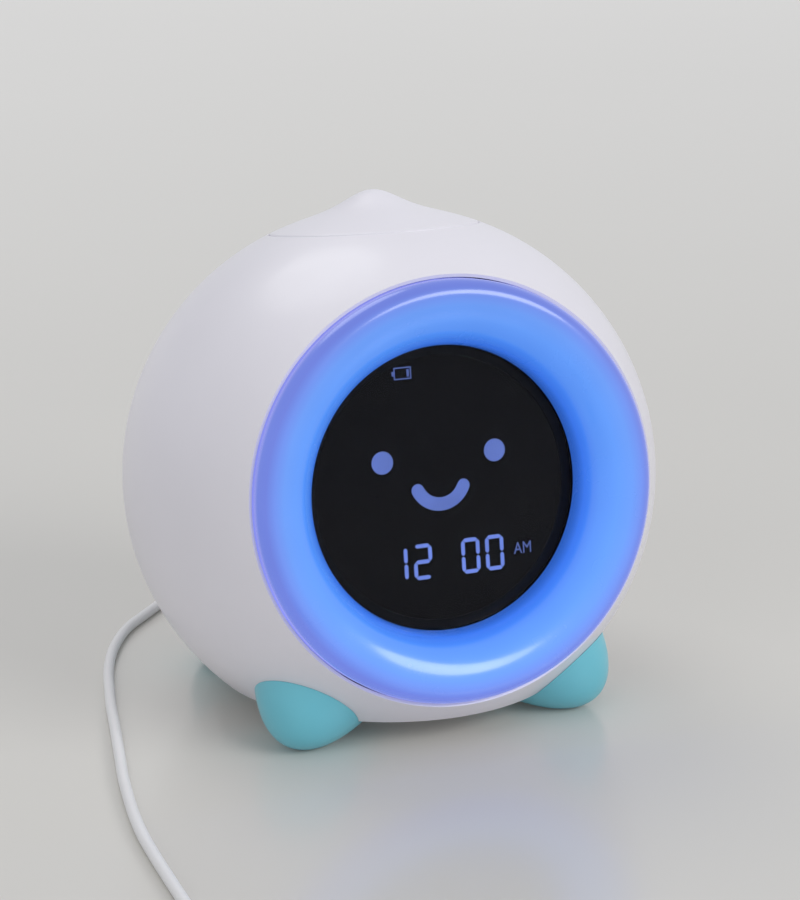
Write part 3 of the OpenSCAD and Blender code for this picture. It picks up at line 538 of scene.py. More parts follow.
def plastic(name, tint, rough=0.4, grain=2500.0, depth=0.02, mottle=0.35, marks=0.06, coat=0.0,
            near_floor=0.0, sheen=0.0, shine=0.5, shade=0.9, reach=0.005, floor_tone=0.62, wear=0.3):
    """Moulded plastic or rubber, with its grain depth in millimetres.

    Its mottling darkens it to shade. A mask near the floor darkens it there and adds wear to
    its roughness.
    """
    f = Finish(name)
    got = f.group(moulded_group(), {
        "Vector": f.where, "Color": tint, "Shade Color": shaded(tint, shade), "Mottle": mottle,
        "Roughness": rough, "Marks": marks, "Grain Scale": grain,
    })
    tone, rough_here = got["Color"], got["Roughness"]
    # Darker near the floor, and rougher there by wear, by a mask that fades with height
    if near_floor:
        mask = f.group(
            near_floor_group(), {"Vector": f.where, "Reach": reach, "Amount": near_floor}
        )["Mask"]
        tone = f.blend(mask, tone, shaded(tint, floor_tone))
        rough_here = f.plus(rough_here, f.times(mask, wear))
    inputs = {
        "Base Color": tone, "Roughness": rough_here, "Specular IOR Level": shine,
        "Coat Weight": coat, "Coat Roughness": 0.12, "Sheen Weight": sheen,
    }
    if depth:
        inputs["Normal"] = f.bump(got["Height"], depth * MM)
    return f.done(inputs)


def metal(name, tint, rough=0.3):
    """Plated metal with fine drawn lines and a few dull patches."""
    f = Finish(name)
    along = f.put("Mapping", {"Vector": f.where, "Scale": (1, 1, 6)})["Vector"]
    drawn = f.noise(along, 900.0, 4.0)
    dull = f.spread(f.noise(f.where, 160.0, 4.0), 0.45, 0.7, 0.0, 1.0)
    lines = f.spread(drawn, 0.3, 0.7, rough - 0.07, rough + 0.09)
    return f.done({
        "Base Color": f.blend(dull, tint, shaded(tint, 0.72)),
        "Roughness": f.plus(lines, f.times(dull, 0.12)), "Metallic": 1.0,
        "Normal": f.bump(drawn, 0.004 * MM, 0.4),
    })


def circuit(name, tint):
    """A circuit board: solder mask over copper tracks and plated holes."""
    f = Finish(name)
    cells = f.put(
        "TexBrick",
        {"Vector": f.where, "Scale": 260.0, "Mortar Size": 0.035, "Color1": (0, 0, 0),
         "Color2": (0.25, 0.25, 0.25), "Mortar": (1, 1, 1)},
        offset=0.37, squash=1.6, squash_frequency=3,
    )["Color"]
    holes = f.put("TexVoronoi", {"Vector": f.where, "Scale": 420.0, "Randomness": 0.4})["Distance"]
    pads = f.spread(holes, 0.12, 0.16, 1.0, 0.0)
    track = f.blend(cells, tint, tuple(min(1, c * 1.7 + 0.02) for c in tint))
    return f.done({
        "Base Color": f.blend(pads, track, linear("C9B27A")),
        "Roughness": f.spread(pads, 0, 1, 0.34, 0.24), "Metallic": f.spread(pads, 0, 1, 0, 1),
        "Normal": f.bump(cells, 0.03 * MM),
    })


def ring_finish(s, tints):
    """Glossy diffuser: brightest halfway, deeper blue at both edges, uneven by its lamps and
    dimmed towards the top by painted shade.
    """
    f = Finish("ring_diffuser")
    axes = face_axes(s)
    on_face = f.put(
        "Mapping",
        {"Vector": f.where, "Location": axes.to_translation(), "Rotation": axes.to_euler()},
        vector_type="TEXTURE",
    )["Vector"]
    split = f.put("SeparateXYZ", {"Vector": on_face})
    x, y = split["X"], split["Y"]
    radius = f.math("SQRT", f.plus(f.times(x, x), f.times(y, y)))
    across = f.spread(radius, s.ring_in_r, s.rim_r, 0.0, 1.0)
    light = f.ramp(across, [
        (0.0, shaded(tints.ring_in, 0.6)), (0.05, tints.ring_in), (0.2, linear("4F92F8")),
        (0.42, tints.ring_mid), (0.62, linear("659EFA")), (0.76, linear("6C92F0")),
        (0.88, tints.ring_out), (0.97, tints.ring_out), (0.985, tints.ring_edge),
    ])
    lamps = f.math("COSINE", f.times(f.math("ARCTAN2", y, x), 16.0))
    haze = f.spread(f.noise(f.where, 9.0, 2.0), 0.3, 0.7, 0.93, 1.0)
    level = f.times(f.spread(lamps, -1, 1, 0.985, 1.0), haze)
    # Painted shade: the glow fades evenly from full at the ring's foot to 88% at its top
    level = f.times(level, f.spread(y, -0.06, 0.06, 1.0, 0.88))
    return f.done({
        "Emission Color": f.put(
            "VectorMath", {0: light, "Scale": level}, operation="SCALE"
        )[0],
        "Emission Strength": 1.0,
        "Base Color": f.blend(haze, shaded(tints.ring_body, 0.8), tints.ring_body),
        "Roughness": f.spread(f.noise(f.where, 60.0, 4.0), 0.35, 0.7, 0.2, 0.3),
        "Coat Weight": 0.6, "Coat Roughness": 0.13,
    })


def window_finish():
    f = Finish("clear_window")
    return f.done({
        "Base Color": (0.70, 0.72, 0.79), "Transmission Weight": 1.0, "IOR": 1.13,
        "Roughness": f.spread(f.noise(f.where, 55.0, 6.0, 1.0), 0.45, 0.75, 0.0, 0.05),
    })


def figures_finish(tint, name, level):
    """Lit bars, a touch uneven from the lamps behind them."""
    f = Finish(name)
    patch = f.spread(f.noise(f.where, 90.0, 1.0), 0.3, 0.7, 0, 1)
    return f.done({
        "Emission Color": f.blend(patch, shaded(tint, 0.84), tint), "Emission Strength": level,
        "Base Color": shaded(tint, 0.15), "Roughness": 0.5,
    })


def strap_finish():
    """Woven hook-and-loop strap."""
    f = Finish("woven_strap")
    warp, weft = (
        f.put("TexWave", {"Vector": f.where, "Scale": 420.0, "Distortion": 1.0},
              bands_direction=way)["Fac"]
        for way in "XZ"
    )
    weave = f.times(warp, weft)
    fuzz = f.spread(f.noise(f.where, 1500.0, 4.0), 0.5, 0.8, 0, 0.5)
    tone = f.blend(weave, linear("202124"), linear("3B3D42"))
    return f.done({
        "Base Color": f.blend(fuzz, tone, linear("5A5C60")), "Roughness": 0.85,
        "Sheen Weight": 0.4, "Normal": f.bump(weave, 0.15 * MM, 0.8),
    })


def cell_finish():
    """Shrink sleeve of the cell, which leaves one end bare."""
    f = Finish("cell_sleeve")
    along = f.put("SeparateXYZ", {"Vector": f.where})["X"]
    wrinkle = f.noise(f.where, 300.0, 3.0)
    end = f.spread(along, 0.0295, 0.0300, 0.0, 1.0)
    return f.done({
        "Base Color": f.blend(end, linear("3F74C4"), linear("B9BCC2")),
        "Roughness": f.spread(wrinkle, 0.3, 0.7, 0.25, 0.4), "Normal": f.bump(wrinkle, 0.05 * MM),
    })


def floor_finish(tint):
    """Plain floor that brightens away from the clock, for rays that look at it."""
    f = Finish("studio_floor")
    cloud = f.spread(f.noise(f.where, 1.2, 3.0), 0.3, 0.7, 0, 1)
    away = f.put("VectorMath", {0: f.where}, operation="LENGTH")["Value"]
    return f.done({
        "Base Color": f.blend(cloud, shaded(tint, 0.96), tint), "Roughness": 0.22,
        "Specular IOR Level": 0.6, "Emission Color": tint,
        "Emission Strength": f.times(f.spread(away, 0.35, 2.5, 0.05, 0.3), f.seen()),
    })


def build_finishes():
    """Every finish, most of them by the record's slot."""
    tints = colours()
    white, teal, lead, figures = (
        tuple(tint) for tint in (tints.shell, tints.feet, tints.lead, tints.figures)
    )
    return {
        "floor": floor_finish(tuple(tints.floor)),
        "shell_white": plastic(
            "satin_shell", white, 0.3, grain=2600.0, depth=0.012, mottle=0.3, marks=0.07, coat=0.15
        ),
        "ring_diffuser": ring_finish(sizes(), tints),
        "tray_white": plastic("tray_plastic", linear("F0F0F0"), 0.5),
        "lamp_board": plastic("lamp_board_mask", linear("ECECE2"), 0.35, grain=900.0, depth=0.03),
        "lamp": plastic("lamp_resin", linear("FFF3C4"), 0.2, grain=800.0, depth=0.01, coat=0.5),
        "screw_steel": metal("zinc_screw", linear("B4B6BC")),
        "screen_black": plastic(
            "screen_frame_black", linear("07070A"), 0.5, grain=1800.0, shine=0.2
        ),
        "window": window_finish(),
        "display_glass": plastic(
            "display_black", linear("050508"), 0.2, grain=900.0, depth=0, marks=0.03, shine=0.12
        ),
        "circuit_green": circuit("green_board", linear("1D5C3A")),
        "chip": plastic("chip_resin", linear("1C1D21"), 0.55, grain=1500.0, depth=0.03),
        "carrier_grey": plastic("carrier_plastic", linear("DCDDE2"), 0.5),
        "switch_dark": plastic("switch_plastic", linear("2A2C33"), 0.5),
        "feet_teal": plastic(
            "feet_plastic", teal, 0.3, grain=2200.0, depth=0.012, mottle=0.3, marks=0.08,
            coat=0.25, near_floor=0.3,
        ),
        "button_teal": plastic(
            "button_rubber", teal, 0.55, grain=1700.0, depth=0.03, mottle=0.3, marks=0.1,
            sheen=0.15,
        ),
        "panel_white": plastic("panel_spark", shaded(white, 0.97), 0.52, grain=1300.0, depth=0.07),
        "speaker_dark": plastic("speaker_plastic", linear("26272B"), 0.6),
        "magnet": metal("magnet_plate", linear("A7AAB0")),
        "cell_blue": cell_finish(),
        "contact": metal("nickel_contact", linear("C9CCD1"), 0.24),
        "lead_white": plastic(
            "lead_sleeve", lead, 0.42, grain=1800.0, depth=0.03, mottle=0.5, marks=0.1,
            near_floor=0.35, shade=0.88, reach=0.003, floor_tone=0.7, wear=0.0,
        ),
        "plug_white": plastic("plug_plastic", lead, 0.36, grain=2000.0, marks=0.08, near_floor=0.2),
        "tie_dark": strap_finish(),
        "figures": figures_finish(figures, "lit_figures", 1.02),
        "smile": figures_finish(figures, "lit_smile", 0.66),
        "small_figures": figures_finish(figures, "lit_small_figures", 0.46),
        "button_mark": plastic("mark_ink", linear("F4F6F8"), 0.5, grain=1500.0, depth=0.01),
        "usb_tongue": plastic("usb_tongue", linear("E8E8EA")),
    }


FINISHES = {}


def finish(look):
    if not FINISHES:
        FINISHES.update(build_finishes())
    return FINISHES[look]


# ---------------------------------------------------------------- stage

# Name, watts, width, height, place, and whether gloss shows the lamp
LAMPS = (
    ("key_light", 18.5, 1.7, 0.8, (1.06, -1.62, 1.22), True),
    ("fill_light", 6.5, 1.6, 1.6, (-1.6, -1.2, 1.1), False),
    ("top_light", 7.0, 1.2, 1.2, (-0.3, 0.9, 1.7), True),
)


class CLOCK_OT_stage(bpy.types.Operator):
    """Lay the floor, hang the studio lights and place the camera"""

    bl_idname = "clock.stage"
    bl_label = "Stage"

    def execute(self, context):
        bm = bmesh.new()
        bmesh.ops.create_grid(bm, x_segments=8, y_segments=8, size=7)
        new_piece("studio_floor", bm, None, "floor")
        self.lights(context.scene)
        self.camera(context.scene, sizes())
        context.scene.view_settings.view_transform = "Standard"
        return {"FINISHED"}

    def lights(self, scene):
        scene.world = bpy.data.worlds.new("studio_air")
        scene.world.use_nodes = True
        nodes = Nodes(scene.world.node_tree)
        air = nodes.tree.nodes["Background"].inputs
        nodes.feed(air["Color"], (0.95, 0.96, 1.0))
        nodes.feed(air["Strength"], nodes.spread(nodes.seen(), 0, 1, 0.43, 0.8))
        for name, power, width, height, place, shows in LAMPS:
            data = bpy.data.lights.new(name, "AREA")
            data.shape = "ELLIPSE"
            data.size, data.size_y = width, height
            data.energy = power
            lamp = bpy.data.objects.new(name, data)
            scene.collection.objects.link(lamp)
            lamp.location = place
            lamp.visible_glossy = shows
            aim = Vector((0, 0, 0.07)) - lamp.location
            lamp.rotation_euler = aim.to_track_quat("-Z", "Y").to_euler()

    def camera(self, scene, s):
        """The photograph's viewing angle, with the ball a little off the frame's middle."""
        azimuth, elevation = math.radians(-22.44), math.radians(16.39)
        back = Vector((
            math.sin(azimuth) * math.cos(elevation),
            -math.cos(azimuth) * math.cos(elevation),
            math.sin(elevation),
        ))
        right = Vector((math.cos(azimuth), math.sin(azimuth), 0))
        aim = ball_middle(s).translation + right * 3.30 * MM + back.cross(right) * 6.55 * MM
        data = bpy.data.cameras.new("camera")
        data.lens = 106.17
        data.sensor_width = 36
        data.clip_start, data.clip_end = 0.01, 30
        camera = bpy.data.objects.new("camera", data)
        scene.collection.objects.link(camera)
        camera.location = aim + back * 0.8
        camera.rotation_euler = (-back).to_track_quat("-Z", "Y").to_euler()
        scene.camera = camera


# ---------------------------------------------------------------- charging lead

# The lead's free stretch, point by point on its way round the floor, in millimetres
LEAD_ROUTE = [
    (-1.5, 104, 20.5), (-6, 110.5, 16.5), (-13, 113.5, 11.5), (-21, 111.5, 7),
    (-28, 105.5, 4), (-34.5, 97.5, 2.3), (-41, 89.5, 1.8), (-47.5, 82, 1.65),
    (-54.5, 74.5, 1.65), (-62.5, 65.5, 1.65), (-69.5, 54, 1.65), (-75, 42, 1.65),
    (-79.5, 29, 1.65), (-83, 16, 1.65), (-86.5, 2.5, 1.65), (-89.5, -11, 1.65),
    (-92.5, -24, 1.65), (-95.5, -37, 1.65), (-98.5, -50, 1.65), (-101, -63, 1.65),
    (-103.2, -76, 1.65), (-104.8, -89, 1.65), (-105.7, -102, 1.65),
    (-106.3, -115, 1.65), (-106.8, -128, 1.65), (-107.2, -141, 1.65),
    (-107.5, -154, 1.8), (-107.6, -166, 2.1), (-107.6, -177, 2.3),
]
COIL_LIFT = 0.7 * MM
COIL_START = Vector((-107.6 * MM, -188 * MM, 0))
COLLAR_H = 0.8 * MM
TIE_W = 7 * MM
# The charger plug: where its handle begins, the length of its neck, and its open metal end
USB_X = -46 * MM
NECK_L = 12 * MM
SLEEVE = Vector((12 * MM, 12 * MM, 4.5 * MM))


def smooth_line(points, steps):
    """A smooth curve through route points, with steps to each stretch."""
    line = []
    last = len(points) - 1
    for i in range(last):
        a, b = points[max(i - 1, 0)], points[i]
        c, d = points[i + 1], points[min(i + 2, last)]
        for k in range(steps):
            t = k / steps
            line.append(0.5 * (
                2 * b + (c - a) * t + (2 * a - 5 * b + 4 * c - d) * t**2
                + (3 * b - a - 3 * c + d) * t**3
            ))
    return line + [points[last]]


def coil_line(lead, steps=40):
    """Two layers of a flat spiral that winds in and then out again."""
    half = lead.coil_turns / 2
    inner = lead.coil_r - lead.coil_pitch * half / 2
    centre = COIL_START + Vector((inner + lead.coil_pitch * half, 0, COIL_LIFT + lead.lead_d / 2))
    line = []
    for i in range(round(lead.coil_turns * steps) + 1):
        s = i / steps
        away = abs(s - half)
        radius = inner + lead.coil_pitch * (0.125 + 2 * away**2 if away < 0.25 else away)
        rise = min(1, max(0, (s - half + 0.25) / 0.5))
        a = math.pi + 2 * math.pi * s
        line.append(centre + Vector((
            radius * math.cos(a), radius * math.sin(a),
            lead.coil_pitch * rise * rise * (3 - 2 * rise),
        )))
    return line, centre, inner


class CLOCK_OT_charging_lead(bpy.types.Operator):
    """Lay the charging lead with its strain relief, plugs, coil and tie"""

    bl_idname = "clock.charging_lead"
    bl_label = "Charging Lead"

    def execute(self, context):
        s, lead = sizes(), lead_sizes()
        d = lead.lead_d
        port = rear_axes(s) @ at(y=-lead.port_drop)
        boot_z = panel_q(s) + lead.plug_l + COLLAR_H
        leave = port @ Vector((0, 0, boot_z + lead.boot_l))
        way = (port.to_3x3() @ Vector((0, 0, 1))).normalized()
        coil, centre, inner = coil_line(lead)
        outer = inner + lead.coil_pitch * lead.coil_turns / 2
        coil_end = coil[-1] + Vector((d, 0, 0))
        usb = Vector((USB_X, coil_end.y + 1 * MM, lead.usb_h / 2))
        free = [leave, leave + way * d, leave + way * 3 * d]
        free += [Vector(p) * MM for p in LEAD_ROUTE]
        free += [coil[0] + Vector((0, d, 0)), coil[0]]
        tail = [
            coil[-1], coil_end, coil_end + Vector((d, 0, 0)),
            Vector((coil_end.x + 8 * MM, coil_end.y + 0.2 * MM, 5.6 * MM)),
            Vector((coil_end.x + 14 * MM, coil_end.y + 0.6 * MM, 4.7 * MM)),
            Vector((usb.x - 15 * MM, usb.y, 4.1 * MM)), usb - Vector((NECK_L, 0, 0)),
            usb + Vector((d - NECK_L, 0, 0)),
        ]
        line = smooth_line(free, 5)[:-1] + coil[:-1] + smooth_line(tail, 4)
        cord = self.cord(line, lead)
        pieces = [
            self.plug(s, lead, port), self.boot(lead, port @ at(z=boot_z)),
            self.tie(lead, centre, inner, outer), self.usb_handle(lead, usb),
            self.usb_shell(lead, usb), self.usb_tongue(lead, usb),
            frame["nodes"]["lead_plug_tip"],
        ]
        return {"FINISHED"}

    def cord(self, line, lead):
        data = bpy.data.curves.new("charging_lead", "CURVE")
        data.dimensions = "3D"
        data.bevel_depth = lead.lead_d / 2
        data.bevel_resolution = 5
        data.use_fill_caps = True
        data.twist_mode = "Z_UP"
        spline = data.splines.new("POLY")
        spline.points.add(len(line) - 1)
        for point, place in zip(spline.points, line):
            point.co = (*place, 1)
        spline.use_smooth = True
        cord = bpy.data.objects.new("charging_lead", data)
        bpy.context.scene.collection.objects.link(cord)
        data.materials.append(finish("lead_white"))
        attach(cord, "case")
        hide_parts("lead_cord", "lead_coil", "lead_tail")
        return cord

    def plug(self, s, lead, port):
        """Flat-oval handle with grip bars, and a collar where it meets the relief."""
        bm = bmesh.new()
        handle = cuboid((lead.plug_w, lead.plug_h, lead.plug_l))
        bevel(handle, edges_along(handle, 2), lead.plug_h * 0.49, 8)
        soften(handle, 0.6 * MM, 3, 60)
        add_to(bm, handle, port @ at(z=panel_q(s) + 0.1 * MM + lead.plug_l / 2))
        for side in (-1, 1):
            for i in range(4):
                grip = port @ at(y=side * lead.plug_h / 2, z=panel_q(s) + (6 + 2 * i) * MM)
                block(bm, mm(5.2, 0.5, 0.7), grip, 0.2 * MM, 2)
        collar = [mm(0, -0.4), mm(3.4, -0.4), (3.1 * MM, COLLAR_H), (0, COLLAR_H)]
        lathe(bm, collar, port @ at(z=panel_q(s) + lead.plug_l), 48, False, {2: 0.3 * MM})
        return new_piece("plug_handle", bm, "case", "plug_white", ["lead_plug"])

    def boot(self, lead, place):
        """Tapered relief with soft ribs."""
        ribs = 6
        rib_l = lead.boot_l / ribs
        r0, r1 = lead.lead_d / 2 + 0.95 * MM, lead.lead_d / 2 + 0.25 * MM
        points = [(0, 0)]
        for i in range(ribs):
            r, z = r0 + (r1 - r0) * i / ribs, lead.boot_l * i / ribs
            points += [
                (r + 0.3 * MM, z + 0.02 * MM), (r + 0.28 * MM, z + rib_l * 0.55),
                (r - 0.12 * MM, z + rib_l * 0.62), (r - 0.12 * MM, z + rib_l * 0.98),
            ]
        points += [(r1, lead.boot_l), (0, lead.boot_l)]
        bm = bmesh.new()
        lathe(bm, points, place, 48, False)
        soften(bm, 0.14 * MM, 2, 35)
        return new_piece("strain_relief", bm, "case", "plug_white", ["lead_boot"])

    def tie(self, lead, centre, inner, outer):
        """Strap round the coil's section, with rounded corners and an overlapped end."""
        around = lead.lead_d / 2 + 0.5 * MM
        x0, x1 = inner - around, outer + around
        z0, z1 = COIL_LIFT - 0.05 * MM, COIL_LIFT + lead.lead_d + lead.coil_pitch + 0.3 * MM
        bm = bmesh.new()
        corners = [
            bm.verts.new((x, -TIE_W / 2, z)) for x, z in ((x0, z0), (x1, z0), (x1, z1), (x0, z1))
        ]
        for pair in zip(corners, corners[1:] + corners[:1]):
            bm.edges.new(pair)
        bevel(bm, corners, 1.2 * MM, 5, "VERTICES")
        grown = bmesh.ops.extrude_edge_only(bm, edges=bm.edges[:])["geom"]
        far = [g for g in grown if isinstance(g, bmesh.types.BMVert)]
        bmesh.ops.translate(bm, verts=far, vec=(0, TIE_W, 0))
        bmesh.ops.recalc_face_normals(bm, faces=bm.faces)
        middle = Vector(((x0 + x1) / 2, 0, (z0 + z1) / 2))
        first = bm.faces[:][0]
        if first.normal.dot(first.calc_center_median() - middle) < 0:
            bmesh.ops.reverse_faces(bm, faces=bm.faces)
        bmesh.ops.solidify(bm, geom=bm.faces[:], thickness=-0.6 * MM)
        soften(bm, 0.12 * MM, 2, 50)
        block(bm, mm(13, 7.2, 0.7), at(middle.x + 1 * MM, 0, z1 + 0.35 * MM), 0.3 * MM)
        across = at(centre.x, centre.y, 0) @ turned(math.radians(30))
        bmesh.ops.transform(bm, matrix=across, verts=bm.verts)
        return new_piece("coil_strap", bm, "case", "tie_dark", ["coil_tie"])

    def usb_handle(self, lead, usb):
        """Rounded handle with a tapered neck and finger dimples."""
        bm = bmesh.new()
        made = cuboid((lead.usb_l, lead.usb_w, lead.usb_h))
        soften(made, 1.6 * MM, 4)
        flats = [f for f in made.faces if abs(f.normal.z) > 0.99 and f.calc_area() > 100 * MM * MM]
        for thickness, depth in ((2.6 * MM, 0), (0.8 * MM, -0.5 * MM)):
            bmesh.ops.inset_region(
                made, faces=flats, thickness=thickness, depth=depth, use_even_offset=True
            )
        add_to(bm, made, at(usb.x + lead.usb_l / 2, usb.y, usb.z))
        r0, neck_l, rings = lead.lead_d / 2, NECK_L - lead.lead_d, 4
        points = [(0, 0)]
        for i in range(rings):
            r, z = r0 + 0.25 * MM + 0.22 * MM * i, neck_l * i / rings
            points += [
                (r, z), (r + 0.3 * MM, z + 0.3 * MM), (r + 0.3 * MM, z + 1.1 * MM),
                (r, z + 1.4 * MM),
            ]
        points += [(r0 + 1.2 * MM, neck_l + 0.5 * MM), (0, neck_l + 0.5 * MM)]
        neck = at(usb.x - NECK_L + lead.lead_d, usb.y, usb.z) @ turned(math.pi / 2, "Y")
        lathe(bm, points, neck, 48, False)
        return new_piece("charger_handle", bm, "case", "plug_white", ["charger_plug"])

    def usb_shell(self, lead, usb):
        """Open-ended metal sleeve with its two pairs of square windows."""
        bm = cuboid(SLEEVE)
        bevel(bm, edges_along(bm, 0), 0.5 * MM, 3)
        bmesh.ops.delete(bm, geom=[f for f in bm.faces if f.normal.x > 0.9], context="FACES")
        for axis, places in (((1, 0, 0), (1.0, 3.2)), ((0, 1, 0), (-3.6, -1.3, 1.3, 3.6))):
            for place in places:
                bmesh.ops.bisect_plane(
                    bm, geom=bm.verts[:] + bm.edges[:] + bm.faces[:], dist=1e-7,
                    plane_co=Vector(axis) * place * MM, plane_no=axis,
                )
        windows = [
            f for f in bm.faces
            if abs(f.normal.z) > 0.9 and 1.0 < f.calc_center_median().x / MM < 3.2
            and 1.3 < abs(f.calc_center_median().y) / MM < 3.6
        ]
        bmesh.ops.delete(bm, geom=windows, context="FACES")
        bmesh.ops.solidify(bm, geom=bm.faces[:], thickness=0.3 * MM)
        place = at(usb.x + lead.usb_l + SLEEVE.x / 2, usb.y, usb.z)
        bmesh.ops.transform(bm, matrix=place, verts=bm.verts)
        return new_piece("charger_sleeve", bm, "case", "contact", ["charger_plug_shell"])

    def usb_tongue(self, lead, usb):
        """Contact tongue inside the sleeve."""
        bm = bmesh.new()
        place = at(usb.x + lead.usb_l + 5.6 * MM, usb.y, usb.z + 0.9 * MM)
        block(bm, mm(11, 10.6, 1.7), place, 0.25 * MM, 2)
        return new_piece("charger_tongue", bm, "case", "usb_tongue")


# ---------------------------------------------------------------- light ring and screen


class CLOCK_OT_light_ring(bpy.types.Operator):
    """Turn the glossy diffuser ring from its smooth profile"""

    bl_idname = "clock.light_ring"
    bl_label = "Light Ring"

    def execute(self, context):
        s = sizes()
        wall, mid_r, low = s.ring_wall, s.crest_r, inner_p(s)
        out_r = s.rim_r - s.show_gap
        shoulder, crest = rim_p(s) - 0.4 * MM, rim_p(s) + s.ring_rise
        lip, skirt = low - 0.6 * MM, rim_p(s) - 6.8 * MM
        points = [(out_r, skirt)]
        points += arc(mid_r, shoulder, out_r - mid_r, crest - shoulder, 0, 90, 18)
        points += arc(mid_r, low, mid_r - s.ring_in_r, crest - low, 93, 180, 36)
        points += [(s.ring_in_r, lip), (s.ring_in_r + wall, lip)]
        points += arc(mid_r, low, mid_r - s.ring_in_r - wall, crest - low - wall, 180, 96, 16)
        points += arc(mid_r, shoulder, out_r - mid_r - wall, crest - shoulder - wall, 90, 0, 8)
        points += [(out_r - wall, skirt)]
        bm = bmesh.new()
        lathe(bm, points, face_axes(s), 224)
        new_piece("diffuser_ring", bm, "case", "ring_diffuser", ["light_ring"])
        return {"FINISHED"}


# Bars of a seven-bar figure: a top, b and c right, d foot, e and f left, g middle
FIGURE_BARS = {"0": "abcdef", "1": "bc", "2": "abged"}
FIGURE_T = 0.08 * MM


class CLOCK_OT_screen(bpy.types.Operator):
    """Fit the window and light the figures of the display"""

    bl_idname = "clock.screen"
    bl_label = "Screen"

    def execute(self, context):
        s = sizes()
        top, r = window_p(s), s.ring_in_r - 0.2 * MM
        back = top - s.window_t + 0.04 * MM
        bm = bmesh.new()
        glass = [(0, back), (r, back), (r, top), (0, top)]
        lathe(bm, glass, face_axes(s), 160, False, {2: 0.15 * MM})
        new_piece("screen_glass", bm, "case", "window", ["screen_window"])
        behind = face_axes(s) @ at(z=top - s.window_t - 0.2 * MM)
        self.time(s, behind)
        self.signs(behind)
        self.smile(behind)
        return {"FINISHED"}

    def bar(self, bm, place, long, wide):
        """One bar with cut corners."""
        half, side = long / 2, wide / 2
        plate(bm, [(-half, 0), (-half + side, -side), (half - side, -side), (half, 0),
                   (half - side, side), (-half + side, side)], FIGURE_T, place)

    def figure(self, bm, s, place, sign):
        w, h, gap = s.digit_w - s.bar_w, (s.digit_h - s.bar_w) / 2, 0.16 * MM
        places = {
            "a": (0, h, 0, w), "g": (0, 0, 0, w), "d": (0, -h, 0, w),
            "b": (w / 2, h / 2, 1, h), "c": (w / 2, -h / 2, 1, h),
            "f": (-w / 2, h / 2, 1, h), "e": (-w / 2, -h / 2, 1, h),
        }
        for key in FIGURE_BARS[sign]:
            x, y, upright, long = places[key]
            self.bar(bm, place @ at(x, y) @ turned(upright * math.pi / 2), long - gap, s.bar_w)

    def time(self, s, place):
        bm = bmesh.new()
        for sign, x in (("1", -14.4), ("2", -6.8), ("0", 8.2), ("0", 15.8)):
            self.figure(bm, s, place @ at(*mm(x, -20.9)), sign)
        new_piece("display_figures", bm, "case", "figures")

    def signs(self, place):
        bm = bmesh.new()
        self.battery(bm, place @ at(*mm(-9.7, 34.0)))
        self.letters(bm, place @ at(*mm(21.9, -22.2)))
        new_piece("display_signs", bm, "case", "small_figures")

    def smile(self, place):
        """Two round eyes and a curved mouth with round ends."""
        bm = bmesh.new()
        for side in (-1, 1):
            disc(bm, 3.3 * MM, FIGURE_T, place @ at(*mm(side * 17.5, 9.0)), 64)
        curve, half, middle = mm(7.8, 1.95, 3.0)
        outline = []
        for first, last, radius, start in (
            (-156, -24, curve + half, -24), (-24, -156, curve - half, 24)
        ):
            outline += arc(0, middle, radius, radius, first, last, 24)
            tip = arc(0, middle, curve, curve, last, last, 1)[0]
            outline += arc(*tip, half, half, start + 15, start + 165, 10)
        plate(bm, outline, FIGURE_T, place)
        new_piece("display_smile", bm, "case", "smile")

    def battery(self, bm, place):
        """Outline of a battery with its nub and what is left in it."""
        w, h, line = mm(5.0, 3.2, 0.35)
        for x, y, long, wide in (
            (0, h / 2, w + line, line), (0, -h / 2, w + line, line),
            (-w / 2, 0, line, h - line), (w / 2, 0, line, h - line),
            (-w / 2 - 0.5 * MM, 0, 0.6 * MM, 1.3 * MM),
            (w / 2 - 0.85 * MM, 0, 0.7 * MM, h - 1.1 * MM),
        ):
            x0, y0, x1, y1 = x - long / 2, y - wide / 2, x + long / 2, y + wide / 2
            plate(bm, [(x0, y0), (x1, y0), (x1, y1), (x0, y1)], FIGURE_T, place)

    def letters(self, bm, place):
        data = bpy.data.curves.new("half_of_day", "FONT")
        data.body = "AM"
        data.size = 4.9 * MM
        data.extrude = FIGURE_T / 2
        text = bpy.data.objects.new("half_of_day", data)
        bpy.context.scene.collection.objects.link(text)
        mesh = evaluated(text)
        mesh.transform(place @ at(z=FIGURE_T / 2) @ Matrix.Diagonal((0.82, 1, 1, 1)))
        bm.from_mesh(mesh)
        bpy.data.meshes.remove(mesh)
        bpy.data.objects.remove(text)


# ---------------------------------------------------------------- cap and feet

SHELL_WALL = 2.4 * MM
CAP_STEM_R, CAP_STEM_END = 3.0 * MM, 56.5 * MM
CAP_RIB = (16 * MM, 1.4 * MM, 5.5 * MM)
CAP_RIB_PLACE = (10.5 * MM, 0, 74.3 * MM)


